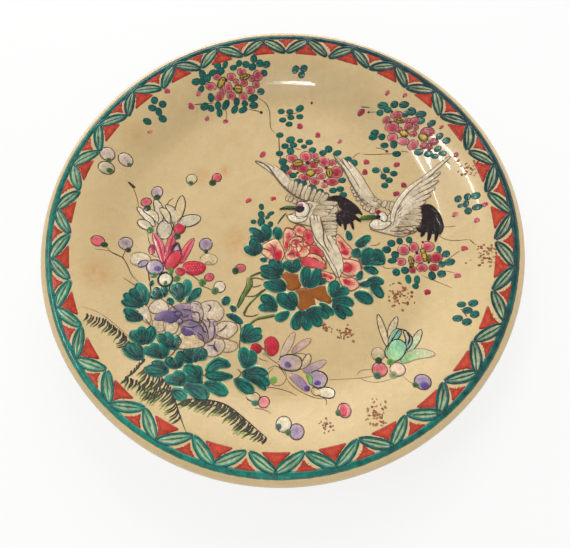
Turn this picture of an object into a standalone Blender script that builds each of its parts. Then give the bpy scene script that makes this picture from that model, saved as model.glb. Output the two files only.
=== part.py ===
"""A hand painted ceramic charger: a thrown dish on a luted foot ring, with its raised enamel rim and border.

Units are metres, +Z is up, and the origin is on the table under the middle of the foot.
"""

import math

import bmesh
import bpy
from mathutils import Vector

MM = 0.001

# Driving dimensions
DIAMETER = 303 * MM  # one shaku, the usual size of a Japanese charger
HEIGHT = 36 * MM  # table to the crown of the lip
WELL_FLOOR_TOP = 16.5 * MM
WELL_FLOOR_RADIUS = 98 * MM
FLOOR_THICKNESS = 6.5 * MM
FACE_STEPS = 10  # points along the curve from the well floor to the lip
BACK_STEPS = 8
FOOT_OUTER_RADIUS = 84 * MM
FOOT_WIDTH = 8 * MM
FOOT_TAPER = 1.3 * MM  # each side of the foot leans in by this much on its way down
TREAD_CHAMFER = 0.8 * MM
LUTING_GAP = 0.3 * MM  # the slip joint between the dish and its foot ring
TURN_STEPS = 96

# The lip is a bead: two quarter ellipses that share their level of greatest radius
LIP_RADIUS = DIAMETER / 2
LIP_WIDTH_ABOVE = 5 * MM
LIP_HEIGHT_ABOVE = 4.5 * MM
LIP_WIDTH_BELOW = 4 * MM
LIP_HEIGHT_BELOW = 3 * MM
LIP_LEVEL = HEIGHT - LIP_HEIGHT_ABOVE

# How far each curve's handles reach from its ends, as (along the radius, up or down)
FACE_FLOOR_HANDLE = 15 * MM
FACE_CROWN_HANDLE = (24.5 * MM, 1.5 * MM)
BACK_LIP_HANDLE = (17.5 * MM, 1 * MM)
BACK_FLOOR_HANDLE = (14 * MM, 1 * MM)

# Raised enamel
RIM_LINE_THICKNESS = 0.6 * MM
LEAF_THICKNESS = 0.4 * MM
LEAF_LIFT = {-1: 0.05 * MM, 1: 0.12 * MM}  # the second leaf of a pair is laid over the first
ENAMEL_GAP = 0.3 * MM
RIM_LINE_INNER = 143.2 * MM
RIM_LINE_OUTER = 146.2 * MM
BORDER_UNITS = 27
BORDER_PHASE = math.radians(-23)  # where the first pair of leaves meets
LEAF_LENGTH = 17.6 * MM
LEAF_WIDTH = 4.8 * MM
LEAF_MIDDLE_RADIUS = 139.5 * MM
LEAF_SPREAD = math.radians(2.9)  # from the meeting point to a leaf's middle
LEAF_TILT = math.radians(31)  # between a leaf and the rim's tangent
LEAF_STEPS = 8
MERGE_DISTANCE = 0.01 * MM


def bezier(start, pull_a, pull_b, end, count):
    """The points of one cubic curve in the turning plane, its first point left out."""
    found = []
    points = (start, pull_a, pull_b, end)
    for k in range(1, count + 1):
        t = k / count
        s = 1 - t
        weights = (s**3, 3 * s * s * t, 3 * s * t * t, t**3)
        found.append(tuple(sum(w * p[axis] for w, p in zip(weights, points)) for axis in (0, 1)))
    return found


def quarter_ellipse(centre, width, height, begin, count):
    """Points of a quarter turn clockwise from angle begin, its first point left out."""
    found = []
    for k in range(1, count + 1):
        angle = begin - math.pi / 2 * k / count
        found.append((centre[0] + width * math.cos(angle), centre[1] + height * math.sin(angle)))
    return found


def face_profile():
    """The upper side of the dish as (radius, height), from the middle out to the crown of the lip."""
    floor_edge = (WELL_FLOOR_RADIUS, WELL_FLOOR_TOP)
    crown = (LIP_RADIUS - LIP_WIDTH_ABOVE, HEIGHT)
    pull_a = (floor_edge[0] + FACE_FLOOR_HANDLE, floor_edge[1])
    pull_b = (crown[0] - FACE_CROWN_HANDLE[0], crown[1] - FACE_CROWN_HANDLE[1])
    return [(0, WELL_FLOOR_TOP), floor_edge] + bezier(floor_edge, pull_a, pull_b, crown, FACE_STEPS)


def back_profile():
    """The lip and the underside, from just past the crown of the lip in to the middle."""
    above = (LIP_RADIUS - LIP_WIDTH_ABOVE, LIP_LEVEL)
    below = (LIP_RADIUS - LIP_WIDTH_BELOW, LIP_LEVEL)
    base = WELL_FLOOR_TOP - FLOOR_THICKNESS
    lip = quarter_ellipse(above, LIP_WIDTH_ABOVE, LIP_HEIGHT_ABOVE, math.pi / 2, 4)
    lip += quarter_ellipse(below, LIP_WIDTH_BELOW, LIP_HEIGHT_BELOW, 0, 3)
    start = lip[-1]
    end = (WELL_FLOOR_RADIUS, base)
    pull_a = (start[0] - BACK_LIP_HANDLE[0], start[1] + BACK_LIP_HANDLE[1])
    pull_b = (end[0] + BACK_FLOOR_HANDLE[0], base + BACK_FLOOR_HANDLE[1])
    return lip + bezier(start, pull_a, pull_b, end, BACK_STEPS) + [(0, base)]


def on_face(radius):
    """Height of the dish's upper side at a radius."""
    profile = face_profile()
    for (r0, z0), (r1, z1) in zip(profile, profile[1:]):
        if r0 <= radius <= r1:
            share = (radius - r0) / (r1 - r0)
            return z0 + share * (z1 - z0)
    return profile[-1][1]


def material(name, colour, roughness):
    made = bpy.data.materials.new(name)
    made.use_nodes = True
    shader = made.node_tree.nodes["Principled BSDF"]
    shader.inputs["Base Color"].default_value = (*colour, 1)
    shader.inputs["Roughness"].default_value = roughness
    return made


def add_object(name, mesh, surface, collection):
    made = bpy.data.objects.new(name, mesh)
    mesh.materials.append(surface)
    collection.objects.link(made)
    return made


def turned(name, profile, closed, surface, collection):
    """A turned piece: the profile in the XZ plane with a Screw modifier."""
    mesh = bpy.data.meshes.new(name)
    count = len(profile)
    edges = [(k, (k + 1) % count) for k in range(count if closed else count - 1)]
    mesh.from_pydata([(r, 0, z) for r, z in profile], edges, [])
    made = add_object(name, mesh, surface, collection)
    screw = made.modifiers.new("turn", "SCREW")
    screw.axis = "Z"
    screw.steps = TURN_STEPS
    screw.render_steps = TURN_STEPS
    screw.use_merge_vertices = True
    screw.merge_threshold = MERGE_DISTANCE
    screw.use_smooth_shade = True
    return made


def make_dish(surface, collection):
    return turned("dish", face_profile() + back_profile(), False, surface, collection)


def make_foot_ring(surface, collection):
    top = WELL_FLOOR_TOP - FLOOR_THICKNESS - LUTING_GAP
    outer = FOOT_OUTER_RADIUS
    inner = FOOT_OUTER_RADIUS - FOOT_WIDTH
    profile = [
        (inner, top),
        (outer, top),
        (outer - FOOT_TAPER, TREAD_CHAMFER),
        (outer - FOOT_TAPER - TREAD_CHAMFER, 0),
        (inner + FOOT_TAPER + TREAD_CHAMFER, 0),
        (inner + FOOT_TAPER, TREAD_CHAMFER),
    ]
    return turned("foot_ring", profile, True, surface, collection)


def make_rim_line(surface, collection):
    """The painted line on the crown of the lip, a flat band of enamel."""
    middle = (RIM_LINE_INNER + RIM_LINE_OUTER) / 2
    low = [(r, on_face(r) + ENAMEL_GAP) for r in (RIM_LINE_OUTER, middle, RIM_LINE_INNER)]
    high = [(r, z + RIM_LINE_THICKNESS) for r, z in reversed(low)]
    return turned("rim_border", high + low, True, surface, collection)


def add_leaf(bm, azimuth, side):
    """One closed leaf of enamel that follows the flange.

    Its inner tip lies at azimuth, and side, -1 or 1, says which way it runs round the rim.
    """
    along = Vector((-side * math.cos(LEAF_TILT), math.sin(LEAF_TILT)))
    across = Vector((-along.y, along.x))
    middle = Vector((-side * LEAF_SPREAD * LEAF_MIDDLE_RADIUS, 0))

    def vertex(share, width):
        tangent, outward = middle + along * LEAF_LENGTH * (share - 0.5) + across * width
        radius = LEAF_MIDDLE_RADIUS + outward
        angle = azimuth - tangent / LEAF_MIDDLE_RADIUS
        height = on_face(radius) + ENAMEL_GAP + LEAF_LIFT[side]
        return bm.verts.new((radius * math.cos(angle), radius * math.sin(angle), height))

    pairs = []
    for k in range(1, LEAF_STEPS):
        share = k / LEAF_STEPS
        width = LEAF_WIDTH / 2 * math.sin(math.pi * share)
        pairs.append((vertex(share, -width), vertex(share, width)))
    faces = [bm.faces.new((vertex(0, 0), *pairs[0]))]
    for (a, b), (c, d) in zip(pairs, pairs[1:]):
        faces.append(bm.faces.new((a, c, d, b)))
    faces.append(bm.faces.new((pairs[-1][0], vertex(1, 0), pairs[-1][1])))
    grown = bmesh.ops.extrude_face_region(bm, geom=faces)
    lifted = [item for item in grown["geom"] if isinstance(item, bmesh.types.BMVert)]
    bmesh.ops.translate(bm, verts=lifted, vec=(0, 0, LEAF_THICKNESS))


def make_leaf_pairs(surface, collection):
    """Pairs of leaves that meet in a V pointing at the well. Their outer tips run into the rim line."""
    bm = bmesh.new()
    for unit in range(BORDER_UNITS):
        for side in (-1, 1):
            add_leaf(bm, BORDER_PHASE + math.tau * unit / BORDER_UNITS, side)
    bmesh.ops.recalc_face_normals(bm, faces=bm.faces)
    mesh = bpy.data.meshes.new("leaf_pairs")
    bm.to_mesh(mesh)
    bm.free()
    return add_object("leaf_pairs", mesh, surface, collection)


def make_rim_border(surface, collection, joined):
    """The raised enamel of the rim in one piece: the rim line with every leaf joined to it."""
    border = make_rim_line(surface, collection)
    leaves = make_leaf_pairs(surface, joined)
    leaves.hide_render = True
    leaves.display_type = "WIRE"
    union = border.modifiers.new("join leaves", "BOOLEAN")
    union.operation = "UNION"
    union.object = leaves
    union.use_self = True
    return border


def main():
    for old in list(bpy.data.objects):
        bpy.data.objects.remove(old)
    collection = bpy.data.collections.new("painted_charger")
    joined = bpy.data.collections.new("joined_shapes")
    for made in (collection, joined):
        bpy.context.scene.collection.children.link(made)
    glaze = material("cream_glaze", (0.62, 0.49, 0.29), 0.15)
    clay = material("bare_clay", (0.55, 0.42, 0.28), 0.85)
    teal = material("teal_enamel", (0.01, 0.20, 0.17), 0.15)
    make_dish(glaze, collection)
    make_foot_ring(clay, collection)
    make_rim_border(teal, collection, joined)


main()
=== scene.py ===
"""The looks of the painted charger: its glazed body, raised enamel border and painted picture.

The picture is modelled in plate millimetres: x to the right, y towards the picture's top, from the plate's middle.
Every painted mark is a thin closed pad of enamel laid on the glaze, and later layers lie higher than earlier ones.
"""

import math
import random

import bmesh
import bpy
import numpy as np
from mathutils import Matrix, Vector


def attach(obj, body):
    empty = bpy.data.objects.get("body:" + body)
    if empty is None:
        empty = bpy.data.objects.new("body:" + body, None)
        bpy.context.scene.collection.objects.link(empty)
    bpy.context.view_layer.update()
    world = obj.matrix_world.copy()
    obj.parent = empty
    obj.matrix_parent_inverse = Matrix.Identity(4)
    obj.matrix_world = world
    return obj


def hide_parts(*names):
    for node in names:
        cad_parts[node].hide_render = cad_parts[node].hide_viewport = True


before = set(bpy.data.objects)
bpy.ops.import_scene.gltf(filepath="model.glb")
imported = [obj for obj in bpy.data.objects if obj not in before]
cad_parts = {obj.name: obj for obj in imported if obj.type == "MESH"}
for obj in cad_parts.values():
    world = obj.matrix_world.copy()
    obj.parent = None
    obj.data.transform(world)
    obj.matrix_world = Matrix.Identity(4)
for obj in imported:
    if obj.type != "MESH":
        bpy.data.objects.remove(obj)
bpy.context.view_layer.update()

MM = 0.001
draw = random.Random(7)

# Enamel colours, as they look under plain light (sRGB)
TEAL = (4, 104, 88)
TEAL_DEEP = (6, 50, 54)
TEAL_LIGHT = (26, 148, 122)
INK = (52, 40, 36)
BROWN_INK = (118, 72, 44)
FAINT_INK = (150, 122, 92)
RED = (178, 40, 52)
RED_DEEP = (142, 22, 44)
PINK = (216, 92, 104)
PINK_PALE = (232, 156, 150)
BLUSH = (226, 178, 152)
IRON_RED = (172, 48, 34)
IRON_ORANGE = (192, 78, 50)
WHITE = (211, 194, 160)
WHITE_BRIGHT = (224, 212, 186)
CREAM = (208, 182, 136)
VIOLET = (98, 78, 116)
VIOLET_PALE = (176, 152, 152)
BLACK = (30, 20, 22)
GREEN = (62, 104, 40)
GREEN_PALE = (150, 160, 110)
GOLD = (150, 116, 20)
GILT_BROWN = (142, 78, 20)
BROWN_DOT = (120, 60, 28)


def linear(colour):
    """An sRGB colour of 0 to 255 as the linear values that shaders use."""
    parts = [c / 255 for c in colour]
    return tuple(c / 12.92 if c <= 0.04045 else ((c + 0.055) / 1.055) ** 2.4 for c in parts)


def mixed(a, b, share):
    return tuple(p + (q - p) * share for p, q in zip(a, b))


# The dish's shape, read from its CAD solid


def read_meridian(node):
    """The dish's cross-section as two lists of (radius, height) in mm: its face going out, its back coming in."""
    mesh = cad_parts[node].data
    up, down = set(), set()
    for face in mesh.polygons:
        side = up if face.normal.z > 0 else down
        for index in face.vertices:
            p = mesh.vertices[index].co
            side.add((round(math.hypot(p.x, p.y) / MM, 2), round(p.z / MM, 2)))
    return sorted(up), sorted(down, reverse=True)


def catmull(points, per_span, closed=False):
    """A smooth curve through given points."""
    found = []
    count = len(points)
    spans = count if closed else count - 1
    for k in range(spans):
        if closed:
            a, b, c, d = (points[(k + j - 1) % count] for j in range(4))
        else:
            a, b, c, d = (points[min(max(k + j - 1, 0), count - 1)] for j in range(4))
        for step in range(per_span):
            t = step / per_span
            found.append(tuple(
                0.5 * (2 * q + (r - p) * t + (2 * p - 5 * q + 4 * r - s) * t * t + (3 * q - p - 3 * r + s) * t**3)
                for p, q, r, s in zip(a, b, c, d)
            ))
    if not closed:
        found.append(tuple(points[-1]))
    return found


UPPER, UNDER = read_meridian("dish")
CROWN = max(range(len(UPPER)), key=lambda k: UPPER[k][1])
FLANGE = catmull(UPPER[1:CROWN + 1], 6)
FACE_LINE = np.array([UPPER[0]] + FLANGE)


def face_height(radius):
    """Height in mm of the dish's upper side, inside the crown of the lip."""
    return float(np.interp(radius, FACE_LINE[:, 0], FACE_LINE[:, 1]))


# Pads of enamel


class Pads:
    """Collects closed pads with a colour at each vertex, for one named piece."""

    def __init__(self, name, lift):
        self.name = name
        self.lift = lift
        self.points = []
        self.faces = []
        self.colours = []

    def vertex(self, x, y, lift, colour):
        self.points.append((x * MM, y * MM, (face_height(math.hypot(x, y)) + lift) * MM))
        self.colours.append((*linear(colour), 1))
        return len(self.points) - 1

    def grid(self, rows):
        """A closed pad from rows of (x, y, lift, colour) across it. The underside sits just inside the glaze."""
        top = [[self.vertex(*p) for p in row] for row in rows]
        low = [[self.vertex(x, y, SUNK, tone) for x, y, _, tone in row] for row in rows]
        spans = range(len(rows[0]) - 1)
        for a, b, c, d in zip(top, top[1:], low, low[1:]):
            self.faces += [(a[k], a[k + 1], b[k + 1], b[k]) for k in spans]
            self.faces += [(c[k + 1], c[k], d[k], d[k + 1]) for k in spans]
            self.faces += [(c[0], a[0], b[0], d[0]), (a[-1], c[-1], d[-1], b[-1])]
        self.faces += [(low[0][k], low[0][k + 1], top[0][k + 1], top[0][k]) for k in spans]
        self.faces += [(top[-1][k], top[-1][k + 1], low[-1][k + 1], low[-1][k]) for k in spans]


SUNK = -0.05  # how far a pad's underside sits inside the glaze
EDGE = 0.03  # how far a pad's edge stands above the glaze
LAYER_STEP = 0.05


def petal_width(t, fullness, peak):
    """Half width, as a share of the greatest, along a petal from base to tip."""
    u = t ** (math.log(0.5) / math.log(peak))
    return math.sin(math.pi * u) ** fullness


def blade(pads, line, width, inner, outer, layer=0, dome=0.12, shape=(0.6, 0.5), edge=None, steps=10, cols=6):
    """A petal, leaf or feather along given points, coloured from inner at its base to outer at its tip.

    edge is the colour along its rim, and shape is (fullness, where along it the widest place is).
    """
    base = pads.lift + layer * LAYER_STEP
    path = np.array(catmull(line, max(2, round(steps / (len(line) - 1)))))
    way = np.gradient(path, axis=0)
    way /= np.linalg.norm(way, axis=1)[:, None]
    rows = []
    count = len(path)
    wobble = draw.uniform(-0.06, 0.06)
    for k in range(count):
        t = (k + 0.02 * count * (k == 0) - 0.02 * count * (k == count - 1)) / (count - 1)
        half = width / 2 * petal_width(min(max(t, 0.015), 0.985), *shape)
        row = []
        for j in range(cols + 1):
            s = 2 * j / cols - 1
            x = path[k][0] - way[k][1] * half * (s + wobble)
            y = path[k][1] + way[k][0] * half * (s + wobble)
            tone = mixed(inner, outer, t)
            if edge:
                rim = max(abs(s) ** 3, (2 * t - 1) ** 6 if t > 0.5 else 0)
                tone = mixed(tone, edge, rim)
            rise = base + dome * (1 - s * s) * math.sin(math.pi * min(max(t, 0.06), 0.94)) ** 0.5
            row.append((x, y, rise, tone))
        rows.append(row)
    pads.grid(rows)


def stroke(pads, line, width, colour, layer=4, taper=(0.3, 0.3), end_colour=None, per_span=5):
    """A brush line through given points. taper is its width at each end as a share of the middle's."""
    base = pads.lift + layer * LAYER_STEP
    path = np.array(catmull(line, per_span))
    way = np.gradient(path, axis=0)
    way /= np.linalg.norm(way, axis=1)[:, None] + 1e-9
    rows = []
    count = len(path)
    for k in range(count):
        t = k / (count - 1)
        share = min(1, taper[0] + 3 * t, taper[1] + 3 * (1 - t)) * draw.uniform(0.85, 1.15)
        half = width / 2 * share
        tone = mixed(colour, end_colour or colour, t)
        side = (-way[k][1] * half, way[k][0] * half)
        x, y = path[k]
        rows.append([
            (x - side[0], y - side[1], base, tone),
            (x, y, base + 0.04, tone),
            (x + side[0], y + side[1], base, tone),
        ])
    pads.grid(rows)


def outline(pads, line, width, shape, pen, colour, layer=4, steps=12):
    """An ink line round the edge of a blade with the same line, width and shape."""
    path = np.array(catmull(line, max(2, round(steps / (len(line) - 1)))))
    way = np.gradient(path, axis=0)
    way /= np.linalg.norm(way, axis=1)[:, None]
    sides = [[], []]
    count = len(path)
    for k in range(count):
        t = min(max(k / (count - 1), 0.01), 0.99)
        half = width / 2 * petal_width(t, *shape)
        for side, edge in zip((-1, 1), sides):
            edge.append((path[k][0] - way[k][1] * half * side, path[k][1] + way[k][0] * half * side))
    ring = sides[0] + sides[1][::-1]
    stroke(pads, ring, pen, colour, layer, taper=(0.8, 0.8), per_span=1)


def patch(pads, points, colour, middle=None, layer=0, dome=0.08, rings=5, smooth=4, edge=None, spread=1):
    """A filled shape round given points, star-shaped about their mean.

    spread above 1 keeps the middle's colour near the middle.
    """
    base = pads.lift + layer * LAYER_STEP
    ring = np.array(catmull(points, smooth, closed=True))
    centre = np.array(points).mean(0)
    middle = middle or colour
    hub = pads.vertex(*centre, base + dome, middle)
    count = len(ring)
    last = None
    for k in range(1, rings + 1):
        share = k / rings
        tone = mixed(middle, colour, min(1, share * spread))
        if edge and k == rings:
            tone = edge
        at = centre + (ring - centre) * share
        now = [pads.vertex(x, y, base + dome * (1 - share**3), tone) for x, y in at]
        for j in range(count):
            n = (j + 1) % count
            if last is None:
                pads.faces.append((hub, now[j], now[n]))
            else:
                pads.faces.append((last[j], now[j], now[n], last[n]))
        last = now
    rim = last
    for k in range(rings, 0, -1):
        low = [pads.vertex(x, y, SUNK, colour) for x, y in centre + (ring - centre) * (k / rings)]
        for j in range(count):
            n = (j + 1) % count
            above = rim if k == rings else last
            pads.faces.append((above[j], low[j], low[n], above[n]))
        last = low
    foot = pads.vertex(*centre, SUNK, colour)
    for j in range(count):
        pads.faces.append((last[j], foot, last[(j + 1) % count]))


def around(x, y, angle, distance):
    a = math.radians(angle)
    return (x + distance * math.cos(a), y + distance * math.sin(a))


def disc(pads, x, y, width, colour, middle=None, layer=0, dome=0.1, aspect=1, turn=0, edge=None):
    """A small round or oval dab of enamel."""
    points = []
    for k in range(8):
        a = math.tau * k / 8
        u, v = width / 2 * math.cos(a), width / 2 * aspect * math.sin(a)
        c, s = math.cos(math.radians(turn)), math.sin(math.radians(turn))
        wide = draw.uniform(0.92, 1.08)
        points.append((x + wide * (u * c - v * s), y + wide * (u * s + v * c)))
    patch(pads, points, colour, middle, layer, dome, rings=3, smooth=3, edge=edge)


def circle(pads, x, y, width, pen, colour, layer=4, aspect=1, turn=0, start=0, sweep=360):
    """An ink circle or arc."""
    points = []
    for k in range(13):
        a = math.radians(start + sweep * k / 12)
        u, v = width / 2 * math.cos(a), width / 2 * aspect * math.sin(a)
        c, s = math.cos(math.radians(turn)), math.sin(math.radians(turn))
        points.append((x + u * c - v * s, y + u * s + v * c))
    stroke(pads, points, pen, colour, layer, taper=(0.7, 0.7), per_span=2)


# Materials


def new_material(name):
    made = bpy.data.materials.new(name)
    made.use_nodes = True
    nodes = made.node_tree.nodes
    return made, nodes, made.node_tree.links, nodes["Principled BSDF"]


def noise_node(nodes, links, scale, detail=4, stretch=(1, 1, 1), rough=0.5):
    """Noise in the object's own metres, with scale in features per metre."""
    place = nodes.new("ShaderNodeTexCoord")
    squeeze = nodes.new("ShaderNodeMapping")
    squeeze.inputs["Scale"].default_value = stretch
    links.new(place.outputs["Object"], squeeze.inputs["Vector"])
    noise = nodes.new("ShaderNodeTexNoise")
    noise.inputs["Scale"].default_value = scale
    noise.inputs["Detail"].default_value = detail
    noise.inputs["Roughness"].default_value = rough
    links.new(squeeze.outputs["Vector"], noise.inputs["Vector"])
    return noise.outputs["Fac"]


def ramp(nodes, links, factor, low, high, a, b):
    """a below low, b above high, blended between."""
    node = nodes.new("ShaderNodeValToRGB")
    node.color_ramp.elements[0].position = low
    node.color_ramp.elements[0].color = a
    node.color_ramp.elements[1].position = high
    node.color_ramp.elements[1].color = b
    links.new(factor, node.inputs["Fac"])
    return node.outputs["Color"]


def grey(value):
    return (value, value, value, 1)


def mix_colours(nodes, links, blend, share, a, b):
    node = nodes.new("ShaderNodeMix")
    node.data_type = "RGBA"
    node.blend_type = blend
    for socket, value in ((node.inputs[0], share), (node.inputs[6], a), (node.inputs[7], b)):
        if isinstance(value, (int, float, tuple)):
            socket.default_value = value
        else:
            links.new(value, socket)
    return node.outputs[2]


def add_bump(nodes, links, shader, height, strength, distance):
    bump = nodes.new("ShaderNodeBump")
    bump.inputs["Strength"].default_value = strength
    bump.inputs["Distance"].default_value = distance
    links.new(height, bump.inputs["Height"])
    links.new(bump.outputs["Normal"], shader.inputs["Normal"])


# Old stains as (x, y, radius in mm, strength)
STAINS = ((-52, 50, 9, 0.8), (-35, 52, 7, 0.8), (-118, -18, 14, 0.7), (-30, 0, 14, 0.6), (-95, 80, 11, 0.5))


def stain_share(nodes, links, x, y, radius, strength):
    """A soft blotch about a place on the face, broken up with noise."""
    place = nodes.new("ShaderNodeTexCoord")
    gap = nodes.new("ShaderNodeVectorMath")
    gap.operation = "DISTANCE"
    gap.inputs[1].default_value = (x * MM, y * MM, face_height(math.hypot(x, y)) * MM)
    links.new(place.outputs["Object"], gap.inputs[0])
    near = nodes.new("ShaderNodeMapRange")
    near.inputs["From Min"].default_value = radius * MM
    near.inputs["From Max"].default_value = 0
    near.inputs["To Max"].default_value = strength
    links.new(gap.outputs["Value"], near.inputs["Value"])
    broken = ramp(nodes, links, noise_node(nodes, links, 240, detail=5, rough=0.7), 0.35, 0.6, grey(0.1),
        grey(1))
    share = nodes.new("ShaderNodeMath")
    share.operation = "MULTIPLY"
    links.new(near.outputs["Result"], share.inputs[0])
    links.new(broken, share.inputs[1])
    return share.outputs[0]


def glaze_material():
    """Old cream glaze: warm ground, broad tone changes, faint tan stains, fine speckle, soft waviness in its gloss."""
    made, nodes, links, shader = new_material("cream_glaze")
    broad = noise_node(nodes, links, 14, detail=3)
    ground = ramp(nodes, links, broad, 0.3, 0.7, (*linear((206, 180, 131)), 1), (*linear((215, 189, 140)), 1))
    mottle = ramp(nodes, links, noise_node(nodes, links, 160, detail=6, rough=0.7), 0.32, 0.7, grey(0.93),
        grey(1.03))
    colour = mix_colours(nodes, links, "MULTIPLY", 1.0, ground, mottle)
    weave = ramp(nodes, links, noise_node(nodes, links, 1400, detail=2), 0.3, 0.7, grey(0.955), grey(1.03))
    colour = mix_colours(nodes, links, "MULTIPLY", 1.0, colour, weave)
    stain = ramp(nodes, links, noise_node(nodes, links, 34, detail=5, rough=0.62), 0.60, 0.76, grey(0),
        grey(0.30))
    colour = mix_colours(nodes, links, "MIX", stain, colour, (*linear((196, 146, 92)), 1))
    for spot in STAINS:
        share = stain_share(nodes, links, *spot)
        colour = mix_colours(nodes, links, "MIX", share, colour, (*linear((196, 138, 76)), 1))
    speck = ramp(nodes, links, noise_node(nodes, links, 520, detail=1), 0.76, 0.80, grey(0), grey(0.42))
    colour = mix_colours(nodes, links, "MIX", speck, colour, (*linear((120, 84, 52)), 1))
    links.new(colour, shader.inputs["Base Color"])
    shader.inputs["Coat Weight"].default_value = 0.5
    shader.inputs["Coat Roughness"].default_value = 0.05
    shader.inputs["Specular IOR Level"].default_value = 0.5
    gloss = ramp(nodes, links, noise_node(nodes, links, 60, detail=4), 0.3, 0.7, grey(0.22), grey(0.34))
    links.new(gloss, shader.inputs["Roughness"])
    add_bump(nodes, links, shader, noise_node(nodes, links, 110, detail=3), 0.12, 0.0006)
    return made


def enamel_material(name, streak=0.2, roughness=(0.2, 0.34), grain=900, coat=0.3):
    """Enamel in the colours painted on its pads, with brushy light and dark streaks and a slightly uneven gloss."""
    made, nodes, links, shader = new_material(name)
    paint = nodes.new("ShaderNodeAttribute")
    paint.attribute_name = "paint"
    fine = ramp(nodes, links, noise_node(nodes, links, grain, detail=4, stretch=(1, 0.45, 1)), 0.3, 0.7,
                grey(1 - streak), grey(1 + streak))
    broad = ramp(nodes, links, noise_node(nodes, links, 190, detail=3), 0.3, 0.7,
                 grey(1 - streak), grey(1 + streak))
    colour = mix_colours(nodes, links, "MULTIPLY", 1.0, paint.outputs["Color"], fine)
    colour = mix_colours(nodes, links, "MULTIPLY", 1.0, colour, broad)
    links.new(colour, shader.inputs["Base Color"])
    shader.inputs["Coat Weight"].default_value = coat
    shader.inputs["Coat Roughness"].default_value = 0.08
    gloss = ramp(nodes, links, noise_node(nodes, links, 260, detail=3), 0.3, 0.7,
                 grey(roughness[0]), grey(roughness[1]))
    links.new(gloss, shader.inputs["Roughness"])
    add_bump(nodes, links, shader, noise_node(nodes, links, 700, detail=3), 0.15, 0.0003)
    return made


def clay_material():
    """Bare buff clay of the foot: gritty, with darker iron specks."""
    made, nodes, links, shader = new_material("bare_clay")
    tone = ramp(nodes, links, noise_node(nodes, links, 90, detail=5), 0.3, 0.7,
                (*linear((176, 146, 108)), 1), (*linear((204, 176, 138)), 1))
    grit = ramp(nodes, links, noise_node(nodes, links, 1500, detail=2), 0.3, 0.7, grey(0.86), grey(1.06))
    colour = mix_colours(nodes, links, "MULTIPLY", 1.0, tone, grit)
    speck = ramp(nodes, links, noise_node(nodes, links, 700, detail=1), 0.72, 0.76, grey(0), grey(0.6))
    colour = mix_colours(nodes, links, "MIX", speck, colour, (*linear((96, 62, 40)), 1))
    links.new(colour, shader.inputs["Base Color"])
    shader.inputs["Roughness"].default_value = 0.85
    add_bump(nodes, links, shader, noise_node(nodes, links, 1800, detail=3), 0.4, 0.0003)
    return made


GLAZE = glaze_material()
CLAY = clay_material()
ENAMEL = enamel_material("picture_enamels")
TEAL_ENAMEL = enamel_material("teal_enamel", streak=0.28, grain=620, coat=0.4)
INK_PAINT = enamel_material("ink_lines", streak=0.2, roughness=(0.3, 0.45), coat=0.2)
GILDING = enamel_material("gilt", streak=0.12, roughness=(0.3, 0.5), grain=1300, coat=0.15)


def finish_pads(pads, surface, slot, *nodes):
    """Makes the piece from its pads, closed and facing out, riding on the plate."""
    mesh = bpy.data.meshes.new(pads.name)
    mesh.from_pydata(pads.points, [], pads.faces)
    paint = mesh.color_attributes.new("paint", "FLOAT_COLOR", "POINT")
    paint.data.foreach_set("color", np.array(pads.colours, dtype=np.float32).ravel())
    mesh.materials.append(surface)
    mesh.shade_smooth()
    made = bpy.data.objects.new(pads.name, mesh)
    bpy.context.scene.collection.objects.link(made)
    face_out(mesh)
    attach(made, "root")
    if nodes:
        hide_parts(*nodes)
    return made


def face_out(mesh):
    bm = bmesh.new()
    bm.from_mesh(mesh)
    bmesh.ops.recalc_face_normals(bm, faces=bm.faces)
    bm.to_mesh(mesh)
    bm.free()


# The glazed body

BODY_TURNS = 360


def make_body():
    """The glazed dish, turned finely from the CAD solid's own cross-section."""
    lip = catmull(UPPER[CROWN:] + [p for p in UNDER if p[0] > 0 and p not in UPPER], 4)
    floor = [(r, UPPER[0][1]) for r in range(7, int(UPPER[1][0]), 7)]
    base = [(r, UNDER[-1][1]) for r in range(int(UNDER[-2][0]) - 7, 6, -7)]
    profile = floor + FLANGE + lip[1:] + base
    bm = bmesh.new()
    rings = []
    for radius, height in profile:
        ring = []
        for k in range(BODY_TURNS):
            a = math.tau * k / BODY_TURNS
            ring.append(bm.verts.new((radius * MM * math.cos(a), radius * MM * math.sin(a), height * MM)))
        rings.append(ring)
    for a, b in zip(rings, rings[1:]):
        for k in range(BODY_TURNS):
            n = (k + 1) % BODY_TURNS
            bm.faces.new((a[k], b[k], b[n], a[n]))
    for ring, height in ((rings[0], UPPER[0][1]), (rings[-1], UNDER[-1][1])):
        hub = bm.verts.new((0, 0, height * MM))
        for k in range(BODY_TURNS):
            bm.faces.new((hub, ring[k], ring[(k + 1) % BODY_TURNS]))
    mesh = bpy.data.meshes.new("glazed_body")
    bmesh.ops.recalc_face_normals(bm, faces=bm.faces)
    bm.to_mesh(mesh)
    bm.free()
    mesh.shade_smooth()
    mesh.materials.append(GLAZE)
    made = bpy.data.objects.new("glazed_body", mesh)
    bpy.context.scene.collection.objects.link(made)
    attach(made, "root")
    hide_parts("dish")


# The border: a rim line, pairs of leaves and iron red scales

UNITS = 27
UNIT = 360 / UNITS
RIM_INNER, RIM_OUTER = 143.2, 147.0
LEAF_PHASE = -23.0


def polar(radius, azimuth):
    return around(0, 0, azimuth, radius)


def sway(azimuth):
    """How far in degrees the painter's spacing has drifted at an azimuth."""
    a = math.radians(azimuth)
    return 1.5 * math.sin(a + 0.9) * math.cos(a / 2) + 0.5 * math.sin(3 * a)


def rim_tone(azimuth):
    """The border's teal: brighter green towards the lower left, darker towards the upper right."""
    # share of the brighter green by azimuth: most at the lower left, least at the upper right
    thin = 0.5 - 0.5 * math.cos(math.radians(azimuth - 40))
    return mixed((10, 56, 58), (6, 122, 104), min(1, max(0, thin + draw.uniform(-0.18, 0.18))))


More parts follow.
